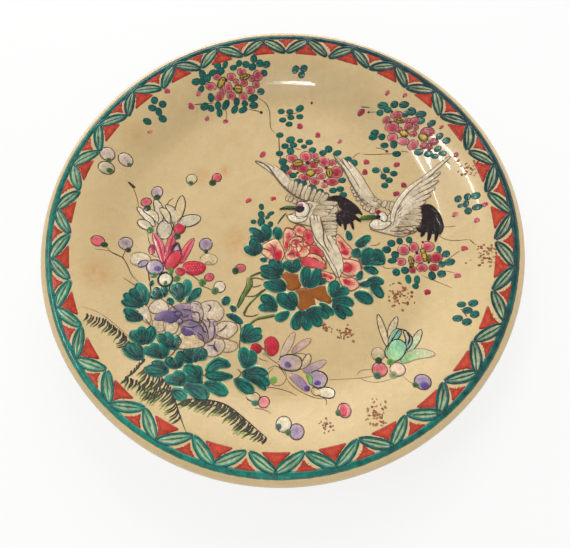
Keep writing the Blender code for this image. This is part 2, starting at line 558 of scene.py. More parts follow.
def make_rim_border():
    pads = Pads("rim_border_enamel", 0.16)
    rows = []
    for k in range(BODY_TURNS):
        a = 360 * k / BODY_TURNS
        inner = RIM_INNER + 0.35 * math.sin(math.radians(5 * a)) + draw.uniform(-0.15, 0.15)
        outer = RIM_OUTER + 0.2 * math.sin(math.radians(7 * a + 40)) + draw.uniform(-0.1, 0.1)
        tone = rim_tone(a)
        middle = (inner + outer) / 2
        rows.append([(*polar(inner, a), EDGE, tone), (*polar(middle, a), 0.2, tone),
            (*polar(outer, a), EDGE, tone)])
    ring_of_rows(pads, rows)
    for unit in range(UNITS):
        azimuth = LEAF_PHASE + UNIT * unit
        azimuth += sway(azimuth)
        for side in (-1, 1):
            add_border_leaf(pads, azimuth, side)
    finish_pads(pads, TEAL_ENAMEL, "teal_enamel", "rim_border")


def ring_of_rows(pads, rows):
    """A closed band from rows of (x, y, lift, colour) that run all the way round."""
    top = [[pads.vertex(*p) for p in row] for row in rows]
    low = [[pads.vertex(row[k][0], row[k][1], SUNK, row[k][3]) for k in (0, -1)] for row in rows]
    for k in range(len(rows)):
        n = (k + 1) % len(rows)
        a, b, c, d = top[k], top[n], low[k], low[n]
        pads.faces += [(a[j], a[j + 1], b[j + 1], b[j]) for j in range(len(a) - 1)]
        pads.faces += [(c[0], a[0], b[0], d[0]), (a[-1], c[1], d[1], b[-1]), (c[1], c[0], d[0], d[1])]


def add_border_leaf(pads, azimuth, side):
    """One leaf of a pair: a dark outline, a pale green wash inside, a midrib and one short dark stroke along one edge.
    """
    reach = draw.uniform(6.5, 7.1)
    tip_in = polar(134.0 + draw.uniform(-0.5, 0.5), azimuth + side * draw.uniform(0.0, 0.4))
    middle = polar(139.2, azimuth + side * reach * 0.52)
    tip_out = polar(143.9, azimuth + side * reach)
    line = [tip_in, middle, tip_out]
    tone = rim_tone(azimuth)
    shape = (0.8, 0.5)
    wide = draw.uniform(4.9, 5.6)
    blade(pads, line, wide + 1.0, mixed(GREEN_PALE, tone, 0.25), (182, 186, 148), 0, dome=0.06, shape=shape,
        cols=6)
    outline(pads, line, wide, shape, draw.uniform(1.4, 1.9), tone, 1)
    outline(pads, line, wide + 0.9, shape, 0.6, mixed(tone, TEAL_DEEP, 0.7), 2)
    lean = draw.uniform(-0.4, 0.4)
    stroke(pads, [(x + lean, y) for x, y in line], 0.9, mixed(tone, GREEN_PALE, 0.2), 2, taper=(0.2, 0.2))
    inner_edge = [polar(136.0, azimuth + side * 1.3), polar(139.6, azimuth + side * reach * 0.62)]
    stroke(pads, inner_edge, 0.5, mixed(tone, BLACK, 0.4), 3, taper=(0.2, 0.2))


def make_border_reds():
    pads = Pads("border_reds", 0.08)
    for unit in range(UNITS):
        azimuth = LEAF_PHASE + UNIT * unit
        azimuth += sway(azimuth)
        add_scale(pads, azimuth, 137.4, 143.2, 5.6)
        add_scale(pads, azimuth + UNIT / 2, 143.6, 133.8, 8.2)
    finish_pads(pads, ENAMEL, "picture_enamels")


def add_scale(pads, azimuth, tip_radius, base_radius, half):
    """An iron red scale: a triangle with hollowed sides and a bowed base, orange in its middle."""
    turn = math.degrees(half / 139)
    lean = draw.uniform(-0.5, 0.5)
    tip = polar(tip_radius, azimuth + lean)
    mid_radius = tip_radius + (base_radius - tip_radius) * 0.55
    bow = base_radius + (base_radius - tip_radius) * 0.05
    corners = [
        tip,
        polar(mid_radius, azimuth + turn * 0.38 + lean),
        polar(base_radius, azimuth + turn),
        polar(bow, azimuth + turn * 0.35),
        polar(bow, azimuth - turn * 0.35),
        polar(base_radius, azimuth - turn),
        polar(mid_radius, azimuth - turn * 0.38 + lean),
    ]
    patch(pads, corners, IRON_RED, IRON_ORANGE, 0, dome=0.03, rings=4, smooth=3, edge=(146, 34, 26),
        spread=1.2)
    centre = polar((tip_radius * 2 + base_radius * 3) / 5, azimuth)
    for share in (0.35, 0.65):
        a = (tip[0] * share + corners[2][0] * (1 - share), tip[1] * share + corners[2][1] * (1 - share))
        b = (tip[0] * share + corners[5][0] * (1 - share), tip[1] * share + corners[5][1] * (1 - share))
        stroke(pads, [a, (centre[0], centre[1]), b], 0.4, (156, 50, 30), 1)


# Helpers for the painted motifs

HALO = (208, 192, 140)  # the pale edge that teal enamel leaves round itself


def petal(pads, line, width, inner, outer, ink=INK, pen=0.55, layer=0, shape=(0.6, 0.5), edge=None,
    dome=0.12):
    """A petal with its ink outline."""
    blade(pads, line, width, inner, outer, layer, dome, shape, edge)
    outline(pads, line, width, shape, pen, ink, layer + 1)


def bud(pads, x, y, width, colour, deep, calyx=None, calyx_colour=GREEN, ink=INK, aspect=1, turn=0):
    """A round bud: a pale disc with colour gathered on one side, an ink ring and a calyx at its foot."""
    disc(pads, x, y, width, colour, mixed(colour, deep, 0.5), 0, 0.16, aspect, turn)
    lean = around(x, y, draw.uniform(200, 340), width * 0.14)
    disc(pads, *lean, width * 0.5, mixed(colour, deep, 0.7), deep, 1, 0.05, aspect, turn)
    circle(pads, x, y, width, 0.5, ink, 2, aspect, turn, start=draw.uniform(0, 360), sweep=350)
    if calyx:
        cx, cy, size = calyx
        disc(pads, cx, cy, size, calyx_colour, mixed(calyx_colour, BLACK, 0.45), 3, 0.12)


def dots(pads, x, y, width, height, count, colour, size=(0.6, 1.3), turn=0, layer=0):
    """A loose cluster of dabs."""
    for _ in range(count):
        u = draw.gauss(0, 0.27) * width
        v = draw.gauss(0, 0.27) * height
        c, s = math.cos(math.radians(turn)), math.sin(math.radians(turn))
        tone = mixed(colour, CREAM, draw.uniform(0, 0.45))
        disc(pads, x + u * c - v * s, y + u * s + v * c, draw.uniform(*size), tone, None, layer, 0.05,
             draw.uniform(0.5, 1), draw.uniform(0, 180))


def lobe(pads, line, width, bright=0.5, layer=0, veins=3, shape=(0.5, 0.55)):
    """One lobe of a teal leaf: dark at its base, brighter towards its tip, with dark veins painted along it."""
    inner = mixed(TEAL_DEEP, TEAL, bright * 0.8)
    outer = mixed(TEAL, TEAL_LIGHT, bright * 0.7)
    blade(pads, line, width + 1.3, HALO, HALO, 0, 0.02, shape)
    layer += 1
    blade(pads, line, width, inner, outer, layer, 0.2, shape,
        edge=mixed(TEAL, TEAL_LIGHT, 0.3 + bright * 0.7))
    (bx, by), (tx, ty) = line[0], line[-1]
    length = math.hypot(tx - bx, ty - by)
    across = (-(ty - by) / length, (tx - bx) / length)
    mid = line[len(line) // 2] if len(line) > 2 else ((bx + tx) / 2, (by + ty) / 2)
    for k in range(veins):
        s = (k + 0.5) / veins - 0.5
        off = s * width * 0.75
        start = (bx + (mid[0] - bx) * 0.25 + across[0] * off * 0.3,
            by + (mid[1] - by) * 0.25 + across[1] * off * 0.3)
        half = (mid[0] + across[0] * off, mid[1] + across[1] * off)
        end = (mid[0] + (tx - mid[0]) * 0.6 + across[0] * off * 0.9,
            mid[1] + (ty - mid[1]) * 0.6 + across[1] * off * 0.9)
        stroke(pads, (start, half, end), draw.uniform(0.5, 0.9), mixed(TEAL_DEEP, BLACK, 0.35), layer + 4,
               taper=(0.5, 0.1), end_colour=inner, per_span=3)
    tip_ink = mixed(TEAL_DEEP, BLACK, 0.3)
    for side in (-1, 1):
        start = (mid[0] + across[0] * width * 0.36 * side, mid[1] + across[1] * width * 0.36 * side)
        turn_in = (mid[0] * 0.45 + tx * 0.55 + across[0] * width * 0.33 * side,
                   mid[1] * 0.45 + ty * 0.55 + across[1] * width * 0.33 * side)
        if draw.random() < 0.6:
            stroke(pads, (start, turn_in, (tx, ty)), 0.6, tip_ink, layer + 4, taper=(0.1, 0.5), per_span=3)


def dab(pads, x, y, length, width, turn, bright=0.5, layer=0):
    """A small teal leaf made with one press of the brush, pointing along turn."""
    length, width = length * 1.08, width * 1.12
    a, b = around(x, y, turn + 180, length / 2), around(x, y, turn, length / 2)
    inner = mixed(TEAL_DEEP, TEAL, 0.15 + bright * 0.85)
    outer = mixed(TEAL, TEAL_LIGHT, bright)
    blade(pads, (a, b), width, outer, inner, layer, 0.16, (0.5, 0.5), edge=mixed(TEAL_DEEP, BLACK, 0.15),
        steps=8, cols=6)
    stroke(pads, (a, (x, y)), width * 0.18, mixed(TEAL_DEEP, BLACK, 0.3), layer + 3, taper=(0.6, 0.2),
        per_span=3)


def wash(pads, points, colour, middle=None, ink=FAINT_INK, pen=0.5, layer=0, dome=0.08):
    """A wash of colour streaked out from its middle, pale at its ruffled edge, with an ink line round it."""
    middle = middle or colour
    cx = sum(p[0] for p in points) / len(points)
    cy = sum(p[1] for p in points) / len(points)
    ruffled = []
    for x, y in catmull(points, 2, closed=True):
        share = draw.uniform(0.95, 1.07)
        ruffled.append((cx + (x - cx) * share, cy + (y - cy) * share))
    points = ruffled
    patch(pads, points, colour, middle, layer, dome, rings=5, smooth=3, edge=mixed(colour, WHITE_BRIGHT, 0.3),
        spread=1.5)
    for x, y in points:
        begin, end = draw.uniform(0.1, 0.25), draw.uniform(0.6, 0.92)
        a = (cx + (x - cx) * begin, cy + (y - cy) * begin)
        b = (cx + (x - cx) * end, cy + (y - cy) * end)
        stroke(pads, (a, b), 0.8, middle, layer + 2, taper=(0.7, 0.1), end_colour=colour, per_span=3)
    ring = catmull(points, 2, closed=True)
    stroke(pads, ring + [ring[0]], pen, ink, layer + 2, taper=(0.7, 0.7), per_span=1)


def make_lily():
    """The green flower at the lower right, with its buds and bent stems."""
    pads = Pads("green_lily", 0.08)
    pale = mixed(CREAM, WHITE, 0.5)
    mint = (150, 190, 150)
    for line in (
        ((22, -95), (40, -95.5), (49, -95)),
        ((39, -94), (42, -91), (49, -91)),
        ((40, -95), (45, -98), (52, -99), (62, -97)),
        ((65, -97), (68, -101), (71, -103)),
    ):
        stroke(pads, line, 0.45, FAINT_INK, 0)
    petal(pads, ((60.5, -79), (58.5, -68), (56.8, -57.5)), 4.2, pale, pale)
    petal(pads, ((61, -77), (64, -68), (68.5, -60)), 4.6, pale, WHITE)
    petal(pads, ((61, -77), (66, -71), (69.5, -68)), 5.4, mint, (110, 170, 156), layer=1)
    petal(pads, ((70, -81), (73.5, -75), (71.5, -69)), 3.8, (110, 160, 150), pale, BLACK, 0.8, layer=1)
    petal(pads, ((71, -83), (77, -76), (81.5, -69.5)), 4.4, mint, pale)
    petal(pads, ((66, -88.5), (75, -84.5), (85, -86)), 6.5, (120, 176, 112), WHITE, FAINT_INK, layer=1)
    petal(pads, ((60, -86), (64, -81), (69.5, -75.5)), 11, (164, 196, 140), (128, 186, 150), INK, 0.7, 2,
        (0.4, 0.5))
    stroke(pads, ((59, -81), (61, -77), (65, -72), (69, -68), (73, -69)), 0.7, INK, 5)
    stroke(pads, ((72, -78), (74, -74), (73, -70)), 1.1, BLACK, 5)
    bud(pads, 53.5, -82, 8, pale, WHITE, (53.3, -86, 4.4), (38, 84, 40), FAINT_INK)
    bud(pads, 53, -91.5, 9, (214, 120, 124), RED, (51, -95, 4.4), (54, 110, 84))
    bud(pads, 63, -92.5, 8.6, WHITE, PINK_PALE, (60, -95.5, 4.6), GREEN_PALE)
    disc(pads, 60, -87.5, 4.4, (110, 160, 80), GREEN, 4)
    bud(pads, 74.5, -101.5, 9, (160, 140, 160), VIOLET, (70.3, -102.8, 3.2))
    disc(pads, 75, -103.5, 4.5, (92, 72, 128), (70, 52, 116), 4)
    bud(pads, 28.5, -113.5, 7.6, (214, 130, 134), PINK, (25, -114.5, 3.8), aspect=1.1)
    disc(pads, 27.8, -113.6, 4, (200, 70, 96), RED, 4, aspect=1.6, turn=0)
    bud(pads, -7, -118.5, 9, (216, 200, 172), WHITE, (-10, -119.5, 3.6), (56, 104, 96))
    bud(pads, 0, -123, 8.6, (172, 148, 160), VIOLET, (-4.6, -123, 3.4), (70, 120, 60))
    finish_pads(pads, ENAMEL, "picture_enamels")


def make_violet_sprays():
    """The violet and white flower at the bottom, with the red buds beside it."""
    pads = Pads("violet_spray", 0.08)
    haze = mixed(CREAM, VIOLET_PALE, 0.5)
    for line in (
        ((-4, -91), (-1, -96), (5, -101), (13, -105), (20, -106)),
        ((17, -105), (19, -107), (18.5, -110)),
        ((-22, -96), (-12, -97), (-3, -100), (2, -103)),
        ((-15, -86), (-10, -84), (-6, -87), (-4, -91)),
        ((-9, -82), (-6, -81), (0, -78), (8, -78), (12, -81)),
        ((-16, -76), (-12, -80), (-8, -83)),
        ((-21, -76), (-19, -79), (-14, -81)),
        ((-24, -108), (-18, -109.5), (-14, -112)),
    ):
        stroke(pads, line, 0.5, mixed(FAINT_INK, INK, 0.3), 0)
    petal(pads, ((-6, -79), (-1, -72), (3.5, -64.5)), 5, haze, (206, 176, 148), FAINT_INK)
    petal(pads, ((1, -77), (7, -73), (13.5, -69.5)), 4.6, (172, 146, 146), BLUSH, FAINT_INK)
    petal(pads, ((5, -87), (9.5, -83), (11.5, -78.5)), 4.6, haze, CREAM, INK)
    petal(pads, ((-7.5, -82), (0, -83), (6.5, -84)), 10, (178, 154, 162), haze, INK, 0.75, 1, (0.42, 0.5))
    disc(pads, -2.2, -83.8, 4, (128, 102, 142), VIOLET, 3, aspect=1.3, turn=60)
    petal(pads, ((7, -89), (14, -86.5), (21.5, -83.5)), 4.8, (140, 114, 146), (208, 184, 160), FAINT_INK)
    petal(pads, ((-1.5, -90), (4, -94.5), (8.5, -100.5)), 5.4, (196, 172, 166), (126, 98, 146), FAINT_INK,
        0.4)
    disc(pads, 8.3, -99, 3.6, (96, 72, 132), (82, 58, 120), 3)
    petal(pads, ((11, -91.5), (16, -94.5), (20, -97)), 10, (168, 144, 166), (186, 166, 170), INK, 0.75, 1,
        (0.4, 0.5))
    disc(pads, 15, -96.3, 4.4, (100, 76, 138), (84, 60, 128), 3, aspect=0.7)
    petal(pads, ((9, -90.5), (10.5, -93), (11, -97)), 3, (120, 168, 96), (136, 176, 110), GREEN, 0.4, 2)
    petal(pads, ((11, -99.5), (13.5, -101.5), (16, -103)), 4.2, (196, 176, 130), CREAM, BROWN_INK, 0.5, 1)
    petal(pads, ((14, -101), (20, -102.5), (24.5, -103.5)), 6.4, WHITE, WHITE_BRIGHT, INK, 0.6, 1, (0.4, 0.5))
    circle(pads, -9, -90.5, 11, 0.5, FAINT_INK, 1, start=110, sweep=300)
    disc(pads, -11.2, -92.3, 4.2, (124, 168, 76), (96, 148, 56), 2)
    petal(pads, ((-14, -77), (-11, -72), (-13.5, -66.5)), 9, RED, (196, 46, 62), RED_DEEP, 0.4, 1,
        (0.42, 0.5))
    petal(pads, ((-24, -71), (-21, -72.5), (-17.5, -73.5)), 6, (186, 32, 54), RED_DEEP, RED_DEEP, 0.4, 1,
        (0.45, 0.5))
    disc(pads, -15, -76, 4.6, GREEN_PALE, (128, 140, 84), 0, aspect=0.7, turn=20)
    stroke(pads, ((-18, -72), (-15, -74), (-12, -78)), 0.6, BROWN_INK, 4)
    bud(pads, -18, -105, 6.8, (220, 140, 136), PINK, None)
    petal(pads, ((-28, -100.5), (-24, -101.5), (-20.5, -103)), 5.6, WHITE, CREAM, INK, 0.6, 1, (0.42, 0.5))
    disc(pads, -23, -105.2, 4.6, (60, 116, 92), TEAL, 2, aspect=0.7)
    finish_pads(pads, ENAMEL, "picture_enamels")


def make_brown_dots():
    """Loose clusters of brown dabs, scattered like gold sand round the flowers."""
    pads = Pads("brown_dots", 0.05)
    for x, y, width, height, count, turn in (
        (72, -46, 15, 14, 66, 0),
        (125, -28, 12, 20, 60, 30),
        (126, 31, 10, 14, 30, 20),
        (36, -68, 9, 8, 40, 0),
        (24, -62.5, 10, 6, 22, -30),
        (46, -117, 10, 15, 56, 0),
        (17, -121, 8, 8, 18, 0),
    ):
        dots(pads, x, y, width, height, count, BROWN_DOT, (0.9, 2.0), turn)
    finish_pads(pads, INK_PAINT, "picture_enamels")


def make_magnolia_stems():
    pads = Pads("magnolia_stems", 0.05)
    for line, width in (
        (((-114, 1), (-111, -3), (-105, -6), (-102, -11), (-99, -18), (-94, -24)), 0.6),
        (((-105, -6), (-104, -3), (-103, 0)), 0.5),
        (((-101, 47), (-98, 43), (-96, 36), (-95, 30)), 0.5),
        (((-89, 11), (-88, 5), (-86, 0), (-86, -5), (-80, -8)), 0.5),
        (((-88, -13), (-88, -18), (-87, -26), (-86, -33)), 0.9),
        (((-76, 30), (-74, 33), (-71, 35)), 0.6),
        (((-55, -29), (-50, -31), (-47, -33)), 0.6),
        (((-62, -20), (-57, -24), (-54, -27)), 0.6),
        (((-104, -20), (-96, -26), (-92, -30)), 0.5),
        (((-120, -2), (-113, -2), (-104, -6)), 0.3),
    ):
        stroke(pads, line, width, mixed(INK, BROWN_INK, 0.4), 0)
    stroke(pads, ((-101, 47.5), (-99, 45.5), (-97, 44)), 1.7, INK, 1)
    finish_pads(pads, INK_PAINT, "picture_enamels")


def make_magnolia():
    """The tall flower on the left: white petals above, pink petals below, buds all round."""
    pads = Pads("magnolia", 0.08)
    pale = mixed(CREAM, WHITE, 0.55)
    ashy = (190, 180, 158)
    for line, width, inner, outer in (
        (((-84, 15), (-89, 22), (-96, 30)), 4.6, WHITE, WHITE_BRIGHT),
        (((-82, 18), (-85, 24), (-92, 28)), 4.6, pale, WHITE),
        (((-81, 16), (-81, 26), (-84, 35)), 6, ashy, WHITE),
        (((-74, 16), (-76, 23), (-80.5, 28)), 5, pale, pale),
        (((-72, 16), (-71.5, 24), (-76.5, 30)), 5, ashy, pale),
        (((-71, 14), (-67, 26), (-65.3, 36)), 6.6, pale, CREAM),
        (((-69, 16), (-61, 17), (-53, 18.5)), 8.6, ashy, (196, 184, 150)),
        (((-86, 13), (-91, 17), (-95.5, 20)), 6.2, WHITE, WHITE),
        (((-77, 5), (-77.5, 12), (-77.5, 18.5)), 10.5, pale, (176, 170, 158)),
    ):
        petal(pads, line, width, inner, outer, mixed(INK, BROWN_INK, 0.2), 0.7, layer=draw.choice((0, 1)))
    for line, width, inner, outer in (
        (((-78, -12), (-81, 1), (-85, 10)), 6, (206, 84, 96), (228, 150, 142)),
        (((-77, -14), (-74, -2), (-71.5, 9)), 6.6, (170, 44, 62), (214, 112, 118)),
        (((-67, -13), (-63.5, -5), (-58, 4)), 5.6, (196, 64, 80), (222, 124, 126)),
    ):
        petal(pads, line, width, inner, outer, (130, 50, 60), 0.45, layer=1)
        stroke(pads, line, 1.2, (186, 42, 66), 4, taper=(1, 0.1))
    petal(pads, ((-86, -5), (-86, -1.5), (-86, 2)), 4.4, (222, 96, 108), (120, 40, 60), (120, 60, 60), 0.4)
    stroke(pads, ((-73, -5), (-72, -1), (-69, 1.5), (-67, -3), (-66.5, -7)), 1.6, (66, 30, 52), 5)
    petal(pads, ((-71, -6), (-69.5, -3), (-69, 0)), 3.6, (190, 130, 150), VIOLET_PALE, INK, 0.4, 2)
    petal(pads, ((-75.5, -16.5), (-72, -10.5), (-67, -4.5)), 9, (190, 34, 52), (214, 66, 72), (110, 24, 42),
        0.7, 3)
    petal(pads, ((-65.5, -14.5), (-58, -17), (-50.5, -17)), 9.6, (206, 40, 58), (186, 30, 54), (130, 24, 44),
        0.5, 3)
    for row in range(3):
        for k in range(6 - row % 2):
            disc(pads, -62 + 1.7 * k + 0.9 * (row % 2), -18.4 + 1.6 * row, 0.7, (226, 120, 116), None, 6,
                0.04)
    petal(pads, ((-70, -17), (-67.5, -18.5), (-64.5, -20)), 5, (186, 28, 52), RED, RED_DEEP, 0.4, 3)
    petal(pads, ((-88, -10), (-84, -14), (-78.5, -16.5)), 10, (186, 168, 162), (150, 128, 152), (66, 50, 84),
        0.8, 1)
    disc(pads, -82, -15.2, 4.8, (96, 74, 130), (80, 60, 122), 4, aspect=0.7)
    petal(pads, ((-100, -6.5), (-94, -7.5), (-87, -10)), 9.4, WHITE, pale, FAINT_INK, 0.8, 0, (0.4, 0.5))
    petal(pads, ((-95, -12), (-92, -11), (-88.5, -9.5)), 4.4, (98, 80, 120), (190, 176, 176), (60, 46, 84),
        0.6, 2)
    petal(pads, ((-54, -12), (-49, -11.5), (-43, -13)), 7.6, CREAM, pale, FAINT_INK, 0.6, 0, (0.4, 0.5))
    circle(pads, -49, -15.5, 4.6, 0.6, FAINT_INK, 4, start=-10, sweep=200)
    circle(pads, -77, -23, 9.4, 1.3, (30, 24, 30), 4)
    disc(pads, -77, -23, 9, (218, 202, 170), WHITE_BRIGHT, 2)
    for x, y, size in (
        (-84.5, -19.5, 4.6), (-73.5, -18, 5), (-69.5, -23, 5), (-53, -27, 4.8), (-87, 12.5, 4.8),
            (-77, -25.5, 3.4),
    ):
        disc(pads, x, y, size, (84, 132, 58), (40, 84, 40), 5, aspect=draw.uniform(0.75, 1),
            turn=draw.uniform(0, 90))
    finish_pads(pads, ENAMEL, "picture_enamels")


def make_left_buds():
    pads = Pads("left_buds", 0.08)
    dark_green = (42, 78, 42)
    for x, y, width, colour, deep, calyx, aspect in (
        (-90, 33.5, 7.4, (216, 110, 116), RED, (-89, 29, 4.6), 0.85),
        (-82.5, 40.3, 8, (202, 178, 166), (140, 110, 146), (-82.5, 36.3, 4.8), 1.1),
        (-67.5, 12.6, 8.4, (202, 52, 68), RED, (-69, 6.5, 4.6), 1.15),
        (-50, -1, 8.8, (176, 150, 160), (92, 76, 124), (-50, -5.8, 3.2), 1),
        (-103, 4, 8.8, (196, 174, 160), (84, 72, 112), (-101.3, -0.6, 3.6), 1),
        (-118.5, 4, 7.2, (224, 104, 110), PINK, (-115, 2, 3.8), 1),
        (-48.5, -24, 6.2, (214, 84, 104), (200, 40, 72), None, 0.85),
        (-42, -31, 7.6, (216, 200, 170), WHITE_BRIGHT, (-45, -33.4, 5), 1),
        (-58.5, 48.2, 7.6, (204, 190, 150), (178, 176, 130), (-59, 45, 3.6), 1),
        (-41, 47.8, 6.6, (214, 100, 104), (204, 66, 84), (-44, 44.2, 5), 1),
        (-28, -19.5, 7, (216, 116, 116), RED, (-31.2, -21, 4.6), 0.8),
        (-112, 64, 9, (208, 188, 166), VIOLET_PALE, (-111, 60, 3), 1),
        (-101.5, 62, 8.6, (212, 192, 168), VIOLET_PALE, (-99.5, 59, 2.8), 1),
        (-113, 54.5, 9.4, (206, 186, 156), GREEN_PALE, (-111, 53, 4), 0.9),
    ):
        bud(pads, x, y, width, colour, deep, calyx, dark_green if colour[1] < 180 else (84, 118, 66),
            aspect=aspect)
    for x, y, size, colour in (
        (-71, 110, 4.2, (190, 70, 100)), (-56, 102, 4.6, (176, 60, 84)), (-46, 95, 3.6, (196, 92, 104)),
        (-33, 92.5, 4, (184, 50, 84)), (-85, 83, 3.4, (214, 150, 124)), (-50, 110, 4.2, (206, 120, 112)),
        (-8, 63, 5.2, (190, 60, 88)), (-20, 28.5, 4.4, (200, 62, 70)), (-3, 28.5, 4, (190, 50, 62)),
        (20, 83.5, 5, (176, 44, 74)), (32, 75, 4.6, (168, 40, 66)), (47, 68.5, 3.8, (206, 110, 104)),
        (64, 88.5, 5.4, (146, 30, 66)), (82, 95.5, 3.6, (190, 84, 90)), (93, 91, 3.4, (206, 104, 106)),
        (63.5, 50.5, 4.6, (180, 54, 66)), (61.5, 42.8, 4.8, (152, 34, 62)), (84, 46.6, 4.6, (170, 50, 80)),
        (86.5, 30.6, 4.4, (150, 28, 62)), (80.5, 24.6, 4.6, (160, 36, 66)),
            (114.5, 3.4, 3.8, (196, 104, 110)),
        (131, 4.6, 3.6, (190, 60, 88)), (125, -4.5, 3.6, (200, 80, 96)), (115.5, -21, 4, (190, 62, 74)),
        (108.5, -38, 4, (200, 96, 112)), (90, -45.6, 4.4, (166, 34, 62)), (113.5, 63.5, 3, (180, 70, 90)),
        (120, 42.5, 3.6, (176, 70, 90)),
    ):
        disc(pads, x, y, size, mixed(colour, BLUSH, 0.12), mixed(colour, RED_DEEP, 0.3), 0, 0.16, 0.8,
            draw.uniform(0, 180))
        stroke(pads, (around(x, y, 200, size / 2), around(x, y, 250, size / 2.2)), 0.6, INK, 2)
    finish_pads(pads, ENAMEL, "picture_enamels")


def make_upper_teal_leaves():
    """Teal leaves under the magnolia."""
    pads = Pads("magnolia_leaves", 0.1)
    for line, width, bright in (
        (((-90, -39), (-92, -31), (-95.5, -24)), 8.5, 0.9),
        (((-91, -39), (-96, -32), (-99, -27.5)), 7.5, 0.3),
        (((-91, -39), (-98, -35), (-103, -31)), 7, 0.6),
        (((-91, -39.5), (-98, -38), (-104, -36)), 6, 0.4),
        (((-79, -35), (-84, -33.5), (-87, -31)), 5.4, 0.5),
        (((-79, -35), (-82, -31), (-84, -28)), 5.4, 0.3),
        (((-78, -35), (-77.5, -31), (-78.5, -27)), 5, 0.6),
        (((-87, -27), (-86, -25), (-85, -23)), 3, 0.6),
        (((-67, -39), (-70, -32), (-74, -27.5)), 7.6, 0.7),
        (((-66, -38), (-67, -31), (-69.5, -26)), 6.6, 0.5),
        (((-66, -36), (-63, -30), (-63.5, -24)), 6.8, 0.9),
        (((-63.5, -39.5), (-58.5, -35), (-54, -31)), 6.6, 0.8),
        (((-76, -36), (-74, -37.5), (-72, -40)), 4.6, 0.7),
    ):
        lobe(pads, line, width, bright)
    finish_pads(pads, TEAL_ENAMEL, "teal_enamel")


def make_violet_peony():
    """The big violet peony at the lower left: pale ragged petals with deep violet at their roots."""
    pads = Pads("violet_peony", 0.08)
    haze = (206, 184, 156)
    milk = (218, 200, 172)
    lilac = (158, 136, 148)
    for points, colour, middle, layer in (
        (((-96, -41), (-90, -39), (-87, -44), (-86, -50), (-89, -51), (-93, -46)), haze, milk, 0),
        (((-88, -42), (-86, -38), (-80, -36), (-76, -39), (-76, -44), (-84, -45)), haze, (224, 208, 184), 1),
        (((-85, -50), (-80, -49), (-77, -53), (-79, -57), (-84, -56)), haze, CREAM, 0),
        (((-78, -50), (-72, -50), (-69, -54), (-71, -59), (-77, -58)), haze, CREAM, 1),
        (((-54, -41), (-47, -39.5), (-42, -43), (-40, -50), (-46, -54), (-53, -51), (-55, -46)), haze, milk,
            0),
        (((-46, -57), (-41, -54), (-34, -55), (-32, -60), (-38, -65), (-45, -62)), haze, milk, 1),
        (((-75, -45), (-70, -41), (-62, -40), (-55, -43), (-53, -50), (-58, -56), (-68, -53)), lilac,
            (120, 100, 128), 1),
        (((-61, -40), (-55, -41), (-53, -47), (-55, -54), (-60, -50)), (182, 160, 152), haze, 2),
        (((-53, -53), (-47, -52), (-44, -57), (-46, -64), (-51, -63)), (176, 152, 156), (196, 176, 162), 1),
        (((-53, -68), (-48, -64), (-42, -65), (-40, -70), (-44, -74.5), (-50, -75), (-54, -72)), haze,
            (178, 158, 158), 2),
        (((-46, -66), (-40, -65), (-33, -68), (-33, -72), (-41, -73)), CREAM, haze, 0),
        (((-69, -54), (-60, -53), (-53, -58), (-51, -65), (-56, -64), (-62, -58)), (140, 118, 140), lilac, 2),
        (((-70, -64), (-67, -59), (-60, -60), (-55, -64), (-53, -68), (-62, -69.5), (-69, -68)),
            (214, 188, 150), CREAM, 3),
    ):
        wash(pads, points, colour, middle, mixed(FAINT_INK, INK, draw.uniform(0, 0.5)), 0.55, layer)
    for line, width, inner, outer in (
        (((-84, -48.5), (-78, -47), (-70, -46)), 6.4, (116, 92, 128), (92, 72, 120)),
        (((-78, -49), (-73, -50.5), (-67, -47)), 4.2, (84, 64, 112), (70, 52, 100)),
        (((-72, -45), (-68, -42.5), (-62, -42.5)), 4, (120, 98, 132), lilac),
        (((-67, -56), (-64, -59), (-59, -60)), 4.4, (82, 62, 114), (90, 70, 120)),
        (((-62, -53), (-57, -57), (-52, -64)), 4.6, (116, 94, 132), (150, 128, 146)),
    ):
        blade(pads, line, width, inner, outer, 5, 0.08)
    for line in (
        ((-72, -47), (-68, -49), (-66, -52), (-69, -54)),
        ((-69, -53), (-62, -51), (-56, -53), (-55, -49)),
        ((-70, -45), (-67, -46), (-66, -49), (-62, -48)),
        ((-66, -44), (-61, -45), (-58, -48)),
        ((-60, -46), (-56, -47), (-55, -51)),
        ((-66, -55), (-60, -56), (-55, -55), (-53, -59), (-50, -60)),
        ((-56, -51), (-53, -54), (-51, -58), (-50, -64)),
        ((-51, -50), (-49, -54), (-50, -58)),
        ((-47, -54), (-46, -59), (-48, -65), (-53, -67)),
        ((-46, -66), (-47, -70), (-44, -73)),
        ((-51, -68), (-47, -69), (-45, -72)),
        ((-44, -60), (-41, -59), (-38, -56)),
        ((-57, -60), (-54, -62), (-53, -66)),
        ((-50, -42), (-48, -44), (-50, -47)),
        ((-74, -40), (-70, -44), (-73, -46)),
    ):
        stroke(pads, line, 0.7, mixed((70, 50, 84), INK, draw.uniform(0, 0.6)), 8)
    finish_pads(pads, ENAMEL, "picture_enamels")


